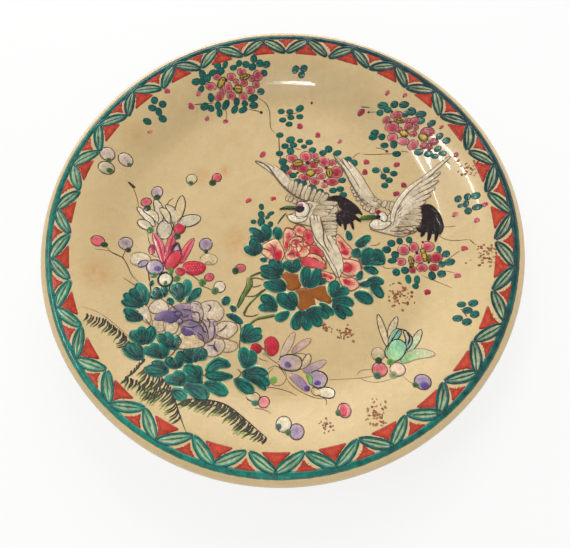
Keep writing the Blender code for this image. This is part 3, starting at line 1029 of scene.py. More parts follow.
def make_lower_teal_leaves():
    """The mass of teal leaves below and beside the violet peony."""
    pads = Pads("peony_leaves", 0.1)
    for line, width, bright in (
        (((-91, -48), (-97, -45), (-102, -41)), 7, 0.2),
        (((-91, -48.5), (-97, -48), (-101, -46)), 4.6, 0.3),
        (((-89, -65), (-93.5, -60), (-97, -56)), 7.4, 0.5),
        (((-88, -65), (-86, -59), (-86, -53)), 7.4, 0.6),
        (((-89, -65), (-91, -58), (-92, -53)), 6.6, 0.3),
        (((-74, -69), (-78, -63), (-81.5, -58.5)), 6.8, 0.7),
        (((-73, -69), (-69, -65), (-70, -60)), 6.6, 0.7),
        (((-73, -69), (-74, -63), (-77, -57.5)), 6.6, 0.6),
        (((-90, -75), (-95.5, -69), (-98, -64)), 8.4, 0.4),
        (((-89, -75), (-91, -70), (-93, -65)), 5, 0.6),
        (((-77, -74), (-84, -70), (-90, -68)), 6.8, 0.3),
        (((-78, -74), (-82, -68), (-86, -65)), 6, 0.5),
        (((-77, -74), (-77, -69), (-80, -65)), 5.4, 0.6),
        (((-60, -78), (-66, -74), (-70, -71)), 6.4, 0.4),
        (((-57, -77), (-53, -73.5), (-54, -69.5)), 5.6, 0.8),
        (((-61, -78), (-63, -73), (-65, -69)), 6.2, 0.3),
        (((-59, -78), (-58, -73), (-59, -69)), 6.2, 0.3),
        (((-69, -81), (-73.5, -77), (-76, -74)), 6.4, 0.4),
        (((-68.5, -81), (-68, -76), (-71, -73)), 5.6, 0.3),
        (((-74, -83), (-80, -82), (-87, -80)), 8, 0.4),
        (((-74.5, -82.5), (-79, -78.5), (-84, -76.5)), 5.4, 0.7),
        (((-55, -90), (-60, -84), (-65.5, -80)), 8.4, 0.8),
        (((-56, -90), (-57, -84), (-58, -80)), 5.8, 0.5),
        (((-54, -91), (-60, -88.5), (-65, -86)), 5.8, 0.5),
        (((-65, -91.5), (-70, -88.5), (-76, -87)), 7, 0.5),
        (((-65, -91), (-66.5, -86.5), (-71, -83)), 6.4, 0.5),
        (((-37, -82), (-44.5, -79.5), (-52.5, -84)), 7.4, 0.7),
        (((-36, -88.5), (-45, -87.5), (-53, -86)), 6.8, 0.7),
        (((-53.5, -91), (-46.5, -94), (-39.5, -99)), 8.2, 0.7),
        (((-65, -91.5), (-57.5, -95), (-51, -101)), 9.4, 0.4),
        (((-71.5, -94), (-67, -96.5), (-63, -100)), 7, 0.7),
        (((-35.5, -90), (-29.5, -94.5), (-24, -99.5)), 7.6, 0.6),
        (((-30.5, -86.5), (-22, -86), (-14.5, -88.5)), 6, 0.5),
        (((-30.5, -88), (-22, -90), (-14, -95)), 7.8, 0.8),
        (((-28, -89.5), (-21, -93), (-16.5, -98)), 4.6, 0.5),
        (((-28.5, -84), (-28.5, -77), (-29.5, -71)), 8, 0.7),
        (((-28, -84), (-23.5, -79), (-24, -73)), 6.4, 0.6),
        (((-30, -66), (-26, -61), (-23, -57)), 7.4, 0.6),
        (((-29.5, -67.5), (-23, -66.5), (-16.5, -65)), 5.6, 0.6),
        (((-30, -67), (-23, -63.5), (-17, -60.5)), 7, 0.5),
        (((-40.5, -43), (-38.5, -41), (-36, -38.5)), 6, 0.8),
        (((-35.5, -44), (-34, -46), (-32.5, -48)), 4.2, 0.5),
        (((-38.5, -49.5), (-33.5, -52), (-28.5, -56)), 4.8, 0.1),
    ):
        lobe(pads, line, width, bright)
    finish_pads(pads, TEAL_ENAMEL, "teal_enamel")


def make_peony_stems():
    """Olive stems edged in ink between the two peonies, and the fine lines that join the lower leaves."""
    pads = Pads("peony_stems", 0.06)
    olive = (116, 132, 52)
    for line, width in (
        (((-22, -26), (-23, -32), (-27, -39), (-31, -46)), 2.4),
        (((-22, -26), (-16, -24), (-8, -23), (-2, -27)), 1.6),
        (((-24, -57), (-19, -54), (-12, -53), (-3, -52)), 1.8),
        (((-27, -51), (-25, -46), (-20, -41), (-14, -36), (-10, -34)), 1.4),
    ):
        stroke(pads, line, width, olive, 0, taper=(0.7, 0.4), end_colour=GREEN)
    for line in (
        ((-24, -26), (-25, -32), (-29, -39), (-32, -46)),
        ((-21, -27), (-21, -32), (-26, -39)),
        ((-22, -25.5), (-16, -23.5), (-9, -22)),
        ((-22, -27.5), (-18, -27), (-13, -29)),
        ((-22, -31), (-20, -33), (-15, -32)),
        ((-26, -38.5), (-20, -39), (-15, -36), (-10, -34)),
        ((-28, -50), (-24, -45), (-22, -42)),
        ((-26, -48), (-27, -51), (-22, -52), (-18, -51)),
        ((-34, -55), (-30, -57), (-30, -63), (-31, -70), (-31, -80)),
        ((-24, -57), (-19, -54.5), (-14, -54), (-6, -53)),
        ((-33, -84), (-31, -87), (-34, -90)),
        ((-38, -89), (-42, -90), (-52, -90)),
        ((-87, -24), (-86.5, -30), (-88, -37), (-90, -40)),
        ((-90, -48), (-87, -52), (-84, -56)),
        ((-79, -62), (-77, -60), (-76, -58)),
        ((-75, -74), (-72, -71), (-70, -68)),
        ((-53, -87), (-56, -84), (-60, -80)),
    ):
        stroke(pads, line, 0.65, mixed(INK, (70, 74, 30), 0.4), 3)
    finish_pads(pads, INK_PAINT, "picture_enamels")


def grass(pads, line, count, length, turn, start=0.6, layer=0, green=0.5, pen=0.9):
    """Short strokes hanging off a stem, dark where they leave it and green at their ends."""
    path = catmull(line, 12)
    count = round(count * 0.85)
    pen *= 0.92
    for k in range(count):
        x, y = path[round(k * (len(path) - 1) / (count - 1))]
        grown = length * min(1, start + 1.6 * k / count, 0.45 + 2.5 * (1 - k / count)) * draw.uniform(0.8,
            1.15)
        lean = turn + draw.uniform(-9, 9)
        x, y = x + draw.uniform(-0.4, 0.4), y + draw.uniform(-0.4, 0.4)
        middle = around(x, y, lean + 14, grown * 0.5)
        tip = around(x, y, lean - 6, grown)
        dark = mixed(BLACK, (52, 58, 30), draw.uniform(0, 0.6))
        if draw.random() < green:
            a, b = around(x, y, lean + 20, grown * 0.4), around(x, y, lean - 4, grown * 1.25)
            stroke(pads, (a, ((a[0] + b[0]) / 2 - 0.4, (a[1] + b[1]) / 2), b), pen * 1.2, (126, 144, 62),
                layer,
                   taper=(0.6, 0.2), end_colour=(150, 156, 96), per_span=3)
        stroke(pads, ((x, y), middle, tip), pen * draw.uniform(0.8, 1.3), dark, layer + 2, taper=(0.9, 0.15),
               end_colour=mixed(dark, (96, 104, 58), 0.5), per_span=3)


def make_grasses():
    """Three bent plumes of grass at the lower left."""
    pads = Pads("grasses", 0.06)
    first = ((-121, -45.5), (-112, -48.5), (-105, -54), (-99, -60))
    stroke(pads, ((-124, -41),) + ((-116, -44), (-108, -50), (-101, -57), (-95, -63)), 0.4, FAINT_INK, 0)
    grass(pads, first, 24, 6.4, 255, layer=1, green=0.25, pen=0.85)
    grass(pads, ((-100, -61), (-98, -62.5), (-95, -64)), 5, 8, 225, layer=1, green=0.2, pen=1.0)
    for line, count, length, turn in (
        (((-88, -74), (-92, -79), (-96, -85)), 9, 6, 250),
        (((-87, -79), (-84, -84), (-77, -87)), 12, 8.5, 245),
        (((-96, -85), (-92, -87), (-86, -90)), 9, 6.5, 262),
        (((-85, -86), (-79, -91), (-73, -94)), 13, 8.5, 248),
        (((-77, -87), (-72, -92), (-69, -98)), 11, 8.5, 240),
        (((-88, -91), (-83, -94), (-80, -96)), 7, 5.6, 250),
        (((-69, -99), (-67, -104), (-64.5, -110)), 9, 6.5, 228),
    ):
        grass(pads, line, count, length, turn, layer=0, green=0.75, pen=1.0)
    stroke(pads, ((-80, -83), (-74, -91), (-69, -100), (-65, -110), (-61, -119)), 0.6, INK, 3)
    stroke(pads, ((-66, -98), (-64.5, -101), (-62, -103)), 3.4, (74, 138, 62), 1)
    last = ((-64, -100), (-52, -101), (-40, -105), (-30, -113), (-17, -125))
    stroke(pads, last, 0.7, INK, 3)
    grass(pads, last, 44, 7.4, 232, layer=0, green=0.85, pen=1.15)
    grass(pads, ((-63, -100), (-50, -101.5), (-38, -107), (-28, -116), (-18, -125.5)), 30, 4.4, 215, layer=1,
        green=0.4)
    finish_pads(pads, INK_PAINT, "picture_enamels")


def make_red_peony():
    """The red peony behind the left crane: pale ruffled petals flushed with red at their hearts."""
    pads = Pads("red_peony", 0.08)
    ink = (140, 64, 42)
    pale = (226, 186, 144)
    for points, edge, heart, layer in (
        (((-14, -6), (-9, -2.5), (-3, -1), (0, -6), (1, -12), (-1, -17), (-6, -16), (-12, -12)), pale,
            (204, 60, 74), 0),
        (((2, -9), (1.5, 0), (4, 5.5), (8, 5), (10, 1), (6, -3), (5, -9)), (224, 176, 140), (192, 44, 56), 0),
        (((8, 4), (11, 7.5), (15, 6.5), (17.5, 2), (15, -1.5), (10, 0.5)), pale, (198, 50, 62), 1),
        (((15, 2), (19, 3.5), (22, -1), (20.5, -6.5), (16, -6)), (210, 90, 92), (186, 34, 52), 2),
        (((5, -4), (9, -1), (14, -2), (14, -6), (8, -8)), (228, 184, 150), (200, 52, 64), 2),
        (((2, -12), (6, -6), (10, -8), (12, -14), (8, -17), (3, -16)), pale, (194, 40, 58), 1),
        (((10, -6), (15, -4), (18.5, -8), (17, -14), (11, -15)), (228, 188, 148), (206, 78, 78), 3),
        (((17, -7), (22, -8), (26.5, -11), (26.5, -16), (22, -14.5), (18, -12)), (206, 84, 78), (184, 28, 46),
            2),
        (((11, -15), (17, -13), (24, -15), (27, -20), (26, -24.5), (20, -23), (13, -22)), (226, 182, 142),
            (198, 50, 64), 1),
        (((36, -3), (39, -2.5), (42, -7), (46, -13), (44, -18.5), (39, -18), (36, -12)), (226, 172, 140),
            (206, 60, 70), 0),
        (((38, -20), (43, -19.5), (49, -22), (50, -28), (45, -31), (39, -30), (37, -25)), (228, 176, 144),
            (200, 40, 56), 0),
        (((35, -31), (40, -32), (45, -33), (47.5, -38), (42, -40.5), (37, -37)), (228, 180, 148),
            (196, 46, 62), 1),
        (((23, -26), (28, -27), (33, -30), (31, -34), (25, -31.5)), pale, (200, 52, 66), 1),
    ):
        wash(pads, points, edge, heart, ink, 0.6, layer)
    for x, y, size, aspect, turn in (
        (-3, -12.5, 6, 1.4, -20), (3.3, -6, 2.6, 2, 0), (9.5, -5.5, 2.6, 0.8, 0), (18, -1, 3.6, 1.2, 0),
        (16.5, -5.5, 2.6, 0.8, 0), (22, -11.5, 5, 0.6, -30), (41, -14.5, 5, 0.8, -30), (41, -26, 6, 0.9, 10),
        (39.5, -34.5, 4.4, 0.8, -40), (26, -29, 3, 0.9, 0), (30, -31, 2.4, 0.8, 0), (10, -13.5, 3, 1, 0),
    ):
        disc(pads, x, y, size, (204, 56, 68), (178, 22, 42), 6, 0.05, aspect, turn)
    petal(pads, ((12, -18), (18, -19.5), (28, -24)), 6.4, (196, 44, 62), (222, 110, 104), ink, 0.4, 4,
        (0.5, 0.4))
    for line in (
        ((2, 3), (4, 6), (9, 5), (11, 7.5), (15, 6), (18, 3)),
        ((12, 0), (14, -2), (13, -5), (10, -3), (7, -4), (6, -9)),
        ((9, -8), (11, -6), (13, -9), (11, -12), (8, -11)),
        ((14, -4), (15, -8), (19, -7)),
        ((17, -14), (21, -13), (25, -16), (26, -20)),
        ((12, -15), (12, -18), (14, -21)),
        ((18, -17), (21, -17), (23, -19)),
        ((-8, -4), (-5, -8), (-6, -13)),
        ((-13, -7), (-8, -9), (-6, -14)),
        ((3, -13), (7, -12), (8, -15)),
        ((37, -6), (40, -9), (41, -12)),
        ((39, -22), (42, -22), (44, -25)),
        ((28, -17), (28, -21), (26, -25)),
        ((48, -17), (50, -22), (51, -27)),
    ):
        stroke(pads, line, 0.7, ink, 8)
    finish_pads(pads, ENAMEL, "picture_enamels")


def make_centre_teal_leaves():
    """Teal leaves round the red peony."""
    pads = Pads("centre_leaves", 0.1)
    for line, width, bright in (
        (((-10, -2), (-14, 3), (-20.5, 8)), 6.4, 0.2),
        (((-9, -2), (-9, 4), (-10.5, 10)), 7.6, 0.2),
        (((-11, -2.5), (-16, 0), (-20.5, 2)), 5.2, 0.2),
        (((-2, -2), (-2, 2), (-2.5, 7.5)), 7, 0.3),
        (((-17, -11.5), (-18, -5), (-19, 0.5)), 7.4, 0.2),
        (((-17, -11.5), (-21, -8), (-24.5, -5)), 6, 0.2),
        (((-16, -11), (-15, -7), (-16, -3)), 5.4, 0.3),
        (((-1, -26), (-8, -23), (-15, -20)), 7.4, 0.2),
        (((-1, -25), (-4, -20), (-9, -16)), 8.4, 0.3),
        (((-2, -28), (-9, -26.5), (-15, -24.5)), 5.4, 0.3),
        (((6, -25.5), (4, -21), (1, -17.5)), 7, 0.2),
        (((6, -25.5), (8.5, -21), (10, -16.5)), 7, 0.3),
        (((13, -36), (14, -29), (15, -22)), 8, 0.3),
        (((14, -36), (20, -31), (23, -24)), 9, 0.15),
        (((0.5, -36.5), (-6, -34), (-13.5, -31)), 7.4, 0.2),
        (((1, -35), (-3, -31), (-9, -29.5)), 4.8, 0.2),
        (((-6, -49.5), (-12, -47), (-18, -47)), 6.4, 0.6),
        (((-6, -48), (-11, -42.5), (-16, -39.5)), 7.6, 0.3),
        (((5, -50), (0, -44), (-5, -39)), 9.4, 0.2),
        (((6.5, -48), (4, -42), (4, -38)), 7, 0.3),
        (((1.5, -51), (-3, -53.5), (-8, -55)), 6.6, 0.5),
        (((9, -51), (6, -57), (4, -63)), 8, 0.2),
        (((10, -51), (12, -57), (11.5, -64)), 8, 0.3),
        (((12, -51), (17, -56), (20, -62)), 8.2, 0.2),
        (((13, -51), (20.5, -52.5), (26, -57)), 7, 0.4),
        (((21, -47), (25, -51), (29, -55.5)), 5.2, 0.7),
        (((29.5, -44), (31, -38), (33, -33)), 8.4, 0.7),
        (((30, -44), (36, -40.5), (41, -41)), 7.4, 0.5),
        (((28.5, -46.5), (36, -46.5), (42.5, -50)), 7.4, 0.4),
        (((29, -48), (35, -52), (41, -56.5)), 6.4, 0.4),
        (((29, -49), (33, -54), (36, -58.5)), 5.6, 0.3),
        (((52, -24), (55, -18), (59, -13.5)), 9.4, 0.5),
        (((65, -24.5), (62, -19), (60, -14)), 9, 0.3),
        (((51, -23.5), (58, -22.5), (66, -24)), 5, 0.5),
        (((48, -10), (53, -8), (59, -4.5)), 6.4, 0.6),
        (((49, -11), (52, -10.5), (56, -9)), 3.6, 0.1),
        (((50, -12.5), (48.5, -15.5), (48, -19)), 7, 0.3),
        (((44, 0.5), (45, -3), (45, -6.5)), 4.8, 0.7),
        (((51.5, -26), (56, -27.5), (60.5, -30.5)), 6, 0.6),
        (((50.5, -28), (48.5, -31), (47, -34)), 4.8, 0.5),
        (((47, -37), (52, -37), (56.5, -36)), 5, 0.4),
        (((53, -35), (58, -35), (63.5, -37)), 6.4, 0.3),
        (((54, -36), (58, -41), (61, -47)), 7, 0.3),
        (((43.5, -43), (49, -45), (54.5, -49.5)), 8.4, 0.3),
        (((22, -35), (24.5, -33), (27, -31.5)), 4, 0.3),
        (((-15, -14.5), (-12.5, -15), (-10, -15.5)), 3.8, 0.4),
    ):
        lobe(pads, line, width, bright)
    for x, y, length, width, turn in (
        (-12.5, 12, 6, 4.6, 80), (-12, 17, 5.4, 4, 100), (-11.5, 23, 4.4, 3.2, 95),
            (-17.5, 12.5, 3.6, 3, 170),
        (-8, 15, 3.4, 2.4, 40), (-5.5, 17.5, 4.6, 2.6, 20), (-6.5, 9.5, 4.4, 3.6, 60),
            (-17.5, 4.5, 4, 3, 150),
    ):
        dab(pads, x, y, length, width, turn, 0.4)
    finish_pads(pads, TEAL_ENAMEL, "teal_enamel")


def make_gilt_leaf():
    """The worn gilded leaf in the middle of the teal ones."""
    pads = Pads("gilt_leaf", 0.05)
    for points in (
        ((-3.5, -30), (1, -24.5), (6, -26), (10.5, -28), (10.5, -35), (6, -37.5), (1.5, -36.5), (-0.5, -32)),
        ((7, -37), (14, -36.5), (17.5, -42), (18.5, -48), (17, -51), (10, -52), (6.5, -48), (5.8, -42)),
        ((14, -38), (20, -35.3), (27, -37), (28.5, -42), (28, -48), (22.5, -46.5), (17, -42.5)),
    ):
        patch(pads, points, GILT_BROWN, (150, 86, 24), 0, 0.04, rings=4, smooth=3, edge=(130, 70, 20))
    finish_pads(pads, GILDING, "gilt")

FEATHER = (203, 186, 155)
FEATHER_BRIGHT = (219, 205, 178)
FEATHER_SHADE = (176, 157, 126)
QUILL = (112, 86, 66)


def feathers(pads, lines, width, inner, outer, layer=0, ink=QUILL, pen=0.5):
    for line in lines:
        petal(pads, line, width, inner, outer, ink, pen, layer, (0.35, 0.45), dome=0.18)


def barbs(pads, arm, edge, count, width, layer):
    """Short overlapping feathers laid from a wing's arm to its trailing edge."""
    a, b = catmull(arm, 8), catmull(edge, 8)
    for k in range(count):
        share = k / (count - 1)
        start, end = a[round(share * (len(a) - 1))], b[round(share * (len(b) - 1))]
        mid = ((start[0] + end[0]) / 2 + draw.uniform(-0.3, 0.3),
            (start[1] + end[1]) / 2 + draw.uniform(-0.3, 0.3))
        petal(pads, (start, mid, end), width, FEATHER_SHADE, FEATHER, QUILL, 0.5, layer + k % 2, (0.35, 0.45),
            dome=0.14)


def tail(pads, shapes, plumes):
    """A black tail: solid patches with curved plumes combed out of them."""
    for points in shapes:
        patch(pads, points, BLACK, (44, 30, 30), 0, 0.12, rings=4, smooth=4)
    for line in plumes:
        blade(pads, line, 3.0, (40, 28, 28), BLACK, 2, 0.16, (0.5, 0.4))


def make_left_crane():
    pads = Pads("left_crane", 0.22)
    wash(pads, ((5, 15), (7, 10.5), (13, 8), (22, 5.5), (31, 8), (38, 13), (39, 19), (34, 23.5), (26, 24.5),
        (18, 24),
                (12, 17)), FEATHER, FEATHER_BRIGHT, QUILL, 0.55, 0)
    feathers(pads, (
        ((17, 27), (7, 37), (-3, 50), (-13.5, 58.5)),
        ((18, 28), (9, 37), (1, 48), (-7, 56)),
        ((19, 28), (11, 37), (4, 47), (-1, 53)),
    ), 3.4, FEATHER, FEATHER_BRIGHT, 1)
    stroke(pads, ((-13.5, 58), (-6, 54), (0, 44), (5, 36), (13, 28), (20, 24)), 1.1, (96, 78, 66), 6)
    barbs(pads, ((7, 34), (13, 27.5), (22, 24), (28, 22)), ((9, 42), (17, 38), (26, 33), (34, 28)), 10, 3.4,
        2)
    barbs(pads, ((8, 30), (14, 25.5), (22, 22)), ((6, 26), (12, 23), (20, 18)), 6, 3, 1)
    barbs(pads, ((22, 14), (24, 18), (28, 22)), ((32, 12), (36, 17), (40, 21)), 6, 3.6, 2)
    feathers(pads, (
        ((22, 14), (22.5, 2), (24, -6), (29, -14)),
        ((26, 13), (28, 0), (30, -10), (34, -25)),
        ((24, 13), (25.5, -1), (29, -14), (34.5, -31)),
        ((29, -4), (32, -12), (35, -22), (35.5, -31)),
        ((31, 0), (34, -8), (37, -18), (37.5, -28)),
    ), 3.8, FEATHER, FEATHER_BRIGHT, 3)
    barbs(pads, ((27, 12), (28, 6), (29, 0), (31, -6)), ((38, 12), (38, 5), (37, 0), (36, -7)), 8, 3.6, 2)
    stroke(pads, ((20, 13), (21, 3), (23, -4), (28, -12), (33, -24)), 0.8, (104, 84, 70), 8)
    stroke(pads, ((27, 12), (28.5, 2), (28, -6), (31, -14)), 1.0, (104, 70, 50), 8)
    wash(pads, ((11, 15), (12, 22.5), (16, 24.5), (20, 22), (21, 17.5), (18, 13), (13, 12)), FEATHER_BRIGHT,
         (240, 232, 220), INK, 0.6, 5)
    wash(pads, ((5.5, 15), (7, 11), (12, 9), (17, 10), (19, 13), (13, 13), (9, 15)), FEATHER_BRIGHT,
        WHITE_BRIGHT,
         QUILL, 0.5, 5)
    disc(pads, 14.6, 21.8, 5, (150, 120, 140), (176, 60, 80), 8, aspect=0.45)
    patch(pads, ((11, 18.5), (12, 21), (15, 21.5), (17.5, 19.5), (16.5, 17), (14, 16), (12, 17)),
        (44, 32, 38),
          (58, 44, 50), 8, 0.1)
    blade(pads, ((0.5, 20), (6, 20.6), (13, 19.5)), 2.7, (34, 46, 30), (38, 60, 34), 8, 0.14, (0.4, 0.65))
    stroke(pads, ((3, 20.4), (8, 20.8), (12, 20)), 0.6, (96, 130, 70), 12)
    stroke(pads, ((5, 17), (1.5, 13.5), (-1.5, 9.5)), 0.9, (52, 54, 36), 1)
    tail(pads, (
        ((31, 24.5), (37, 26.3), (44, 25.5), (51, 20), (55, 13.5), (51, 12), (44, 15.5), (42, 20),
            (36, 22.8)),
        ((36, 13.5), (43, 16), (50, 14), (51, 9), (47, 6), (43, 5), (38.5, 8)),
        ((40, 21), (45, 20), (51, 15), (50, 10), (45, 11), (42, 15)),
    ), (
        ((44, 14), (49, 11), (54, 6)), ((43, 12), (47, 8), (48.5, 1)), ((40, 12), (43, 7), (43, 1)),
        ((38, 12), (39, 8), (40.5, 4)), ((45, 20), (51, 17), (55.5, 11)), ((34, 25), (42, 25), (50, 20)),
    ))
    finish_pads(pads, ENAMEL, "picture_enamels")


def make_right_crane():
    pads = Pads("right_crane", 0.22)
    wash(pads, ((60, 2), (63, -1.5), (71, -4.5), (80, -6.3), (88, -4.5), (93, 1), (95, 9), (94, 15), (86, 16),
        (79, 15),
                (72, 9), (65, 4)), FEATHER, FEATHER_BRIGHT, QUILL, 0.55, 0)
    feathers(pads, (
        ((66, 15), (57, 26), (50, 42), (42, 57)),
        ((67, 15), (60, 26), (54, 41), (47, 55)),
        ((68, 16), (62, 27), (57, 40), (51, 52)),
    ), 3.6, FEATHER, FEATHER_BRIGHT, 1)
    barbs(pads, ((56, 32), (59, 25), (66, 16)), ((50, 31), (53, 22), (59, 14)), 7, 3.2, 0)
    barbs(pads, ((63, 24), (68, 17), (75, 12)), ((65, 21), (71, 20), (77, 19)), 6, 3.4, 2)
    barbs(pads, ((60, 18), (64, 14), (70, 11)), ((57, 15), (61, 12), (66, 9)), 5, 3.2, 1)
    stroke(pads, ((41.5, 57.5), (47, 46), (51, 34), (55, 24), (60, 16)), 1.0, (112, 92, 76), 6)
    feathers(pads, (
        ((80, 15), (90, 27), (103, 35), (116.5, 42.5)),
        ((80, 14), (92, 26), (102, 31), (110, 34)),
        ((80, 12), (92, 23), (101, 27), (108.5, 29)),
        ((80, 10), (91, 19), (99, 23), (106, 25)),
        ((79, 9), (89, 15), (97, 19), (103, 21)),
        ((79, 7), (88, 12), (94, 15), (99, 17)),
    ), 3.2, FEATHER_BRIGHT, FEATHER, 1)
    feathers(pads, (((74, 2), (78, 14), (88, 26), (100, 34)),), 3.4, FEATHER_BRIGHT, FEATHER_BRIGHT, 5)
    barbs(pads, ((77, 0), (80, 4), (84, 8), (88, 11)), ((86, -4), (92, 0), (95, 6), (95, 13)), 9, 3.8, 1)
    wash(pads, ((59.5, 2), (61, 5.5), (65, 7), (70, 5), (74, 4), (71, 0.5), (64, -0.5)), FEATHER_BRIGHT,
        WHITE_BRIGHT,
         QUILL, 0.55, 5)
    wash(pads, ((66, 7.5), (67.5, 11.5), (70.5, 11), (72, 7.5), (69.5, 4.5)), FEATHER_BRIGHT, (240, 234, 226),
        INK, 0.55, 7)
    disc(pads, 66.2, 12, 3.8, (150, 30, 50), (120, 20, 40), 9, aspect=0.75, turn=20)
    disc(pads, 65.6, 8.4, 4, (40, 34, 30), (30, 26, 26), 9, aspect=0.8)
    blade(pads, ((53, 8.3), (58, 9), (65, 8.6)), 2.9, (92, 130, 40), (34, 66, 28), 8, 0.14, (0.4, 0.6))
    stroke(pads, ((53, 7.6), (58, 7.4), (65, 7.4)), 0.5, (34, 56, 26), 12)
    for line in (((72, -2), (78, -3), (84, -2)), ((75, -4.5), (82, -5), (88, -3)),
        ((76, 0), (82, 0), (88, 0)),
                 ((82, -1), (85, -3), (89, -4))):
        stroke(pads, line, 0.55, QUILL, 9)
    tail(pads, (
        ((93, 13), (99, 14.2), (104, 11), (107, 4), (106.5, -3), (102, -7), (96, -5), (91, -2), (93, 3),
            (95.5, 8)),
    ), (
        ((96, -2), (93, -4), (89.5, -1)), ((96, 0), (94, -5), (92, -8)), ((99, 2), (98, -6), (96, -11.5)),
        ((102, 4), (103, -4), (100.5, -12.5)), ((104, 6), (106, -2), (104, -8)),
            ((95, 13), (101, 13), (105.5, 7)),
    ))
    finish_pads(pads, ENAMEL, "picture_enamels")


GILT_YELLOW = (206, 168, 48)
STEM_BROWN = (104, 74, 44)


def pink_petal(pads, x, y, width, height, turn=0, depth=0.4):
    """A blossom petal seen face on: pale at its edge, redder in its middle, with a broken ink edge."""
    rim = mixed(PINK_PALE, RED, depth * 0.8)
    heart = mixed(PINK, RED_DEEP, min(1, depth * 1.5))
    aspect = height / width
    disc(pads, x, y, width * 1.05, rim, heart, 0, 0.14, aspect, turn,
        edge=mixed((232, 184, 164), rim, depth * 0.6))
    lean = around(x, y, draw.uniform(200, 300), width * 0.12)
    disc(pads, *lean, width * 0.55, mixed(rim, heart, 0.7), mixed(heart, RED_DEEP, 0.35), 2, 0.05, aspect,
        turn)
    for side in (-0.22, 0, 0.22):
        a = around(x, y, turn + 90, side * height)
        stroke(pads, [around(*a, turn + 180, width * 0.3), around(*a, turn, width * 0.26)], 0.35,
               mixed(RED_DEEP, rim, 0.35), 3, per_span=3)
    circle(pads, x, y, width * 1.05, 0.36, mixed(RED_DEEP, INK, 0.65), 3, aspect, turn,
           start=draw.uniform(0, 360), sweep=330)


def gilt_heart(pads, x, y, width, height, turn=0, dark=0.4):
    """The stamens of a blossom: a gold dab with dark strokes along it and dots round it."""
    aspect = height / width
    disc(pads, x, y, width * 1.25, mixed(GOLD, INK, 0.65), mixed(GOLD, INK, 0.4), 3, 0.05, aspect, turn)
    disc(pads, x, y, width, mixed(GILT_YELLOW, INK, dark * 0.35), GILT_YELLOW, 4, 0.1, aspect * 0.8, turn)
    for k in range(5):
        angle = turn + 72 * k + draw.uniform(-20, 20)
        dot = around(x, y, angle, min(width, height) * 0.55)
        disc(pads, *dot, draw.uniform(0.7, 1.2), mixed(INK, GOLD, 0.2), None, 6, 0.06)
    if dark > 0.5:
        a, b = around(x, y, turn + 180, width * 0.4), around(x, y, turn, width * 0.4)
        stroke(pads, [a, b], 0.7, mixed(INK, GOLD, 0.15), 7)


def blossom_cluster(name, petals, hearts, dabs, stems, dark_dots=()):
    """A head of blossom: stems, then the small teal leaves round it, then its petals and gilt hearts."""
    pads = Pads(name, 0.03)
    for line, width in stems:
        stroke(pads, line, width, STEM_BROWN, 0, end_colour=mixed(STEM_BROWN, FAINT_INK, 0.5))
    for leaf in dabs:
        dab(pads, *leaf)
    for petal_values in petals:
        pink_petal(pads, *petal_values)
    for heart in hearts:
        gilt_heart(pads, *heart)
    for x, y, width in dark_dots:
        disc(pads, x, y, width, (64, 20, 44), INK, 4, 0.08)
    finish_pads(pads, ENAMEL, "picture_enamels")


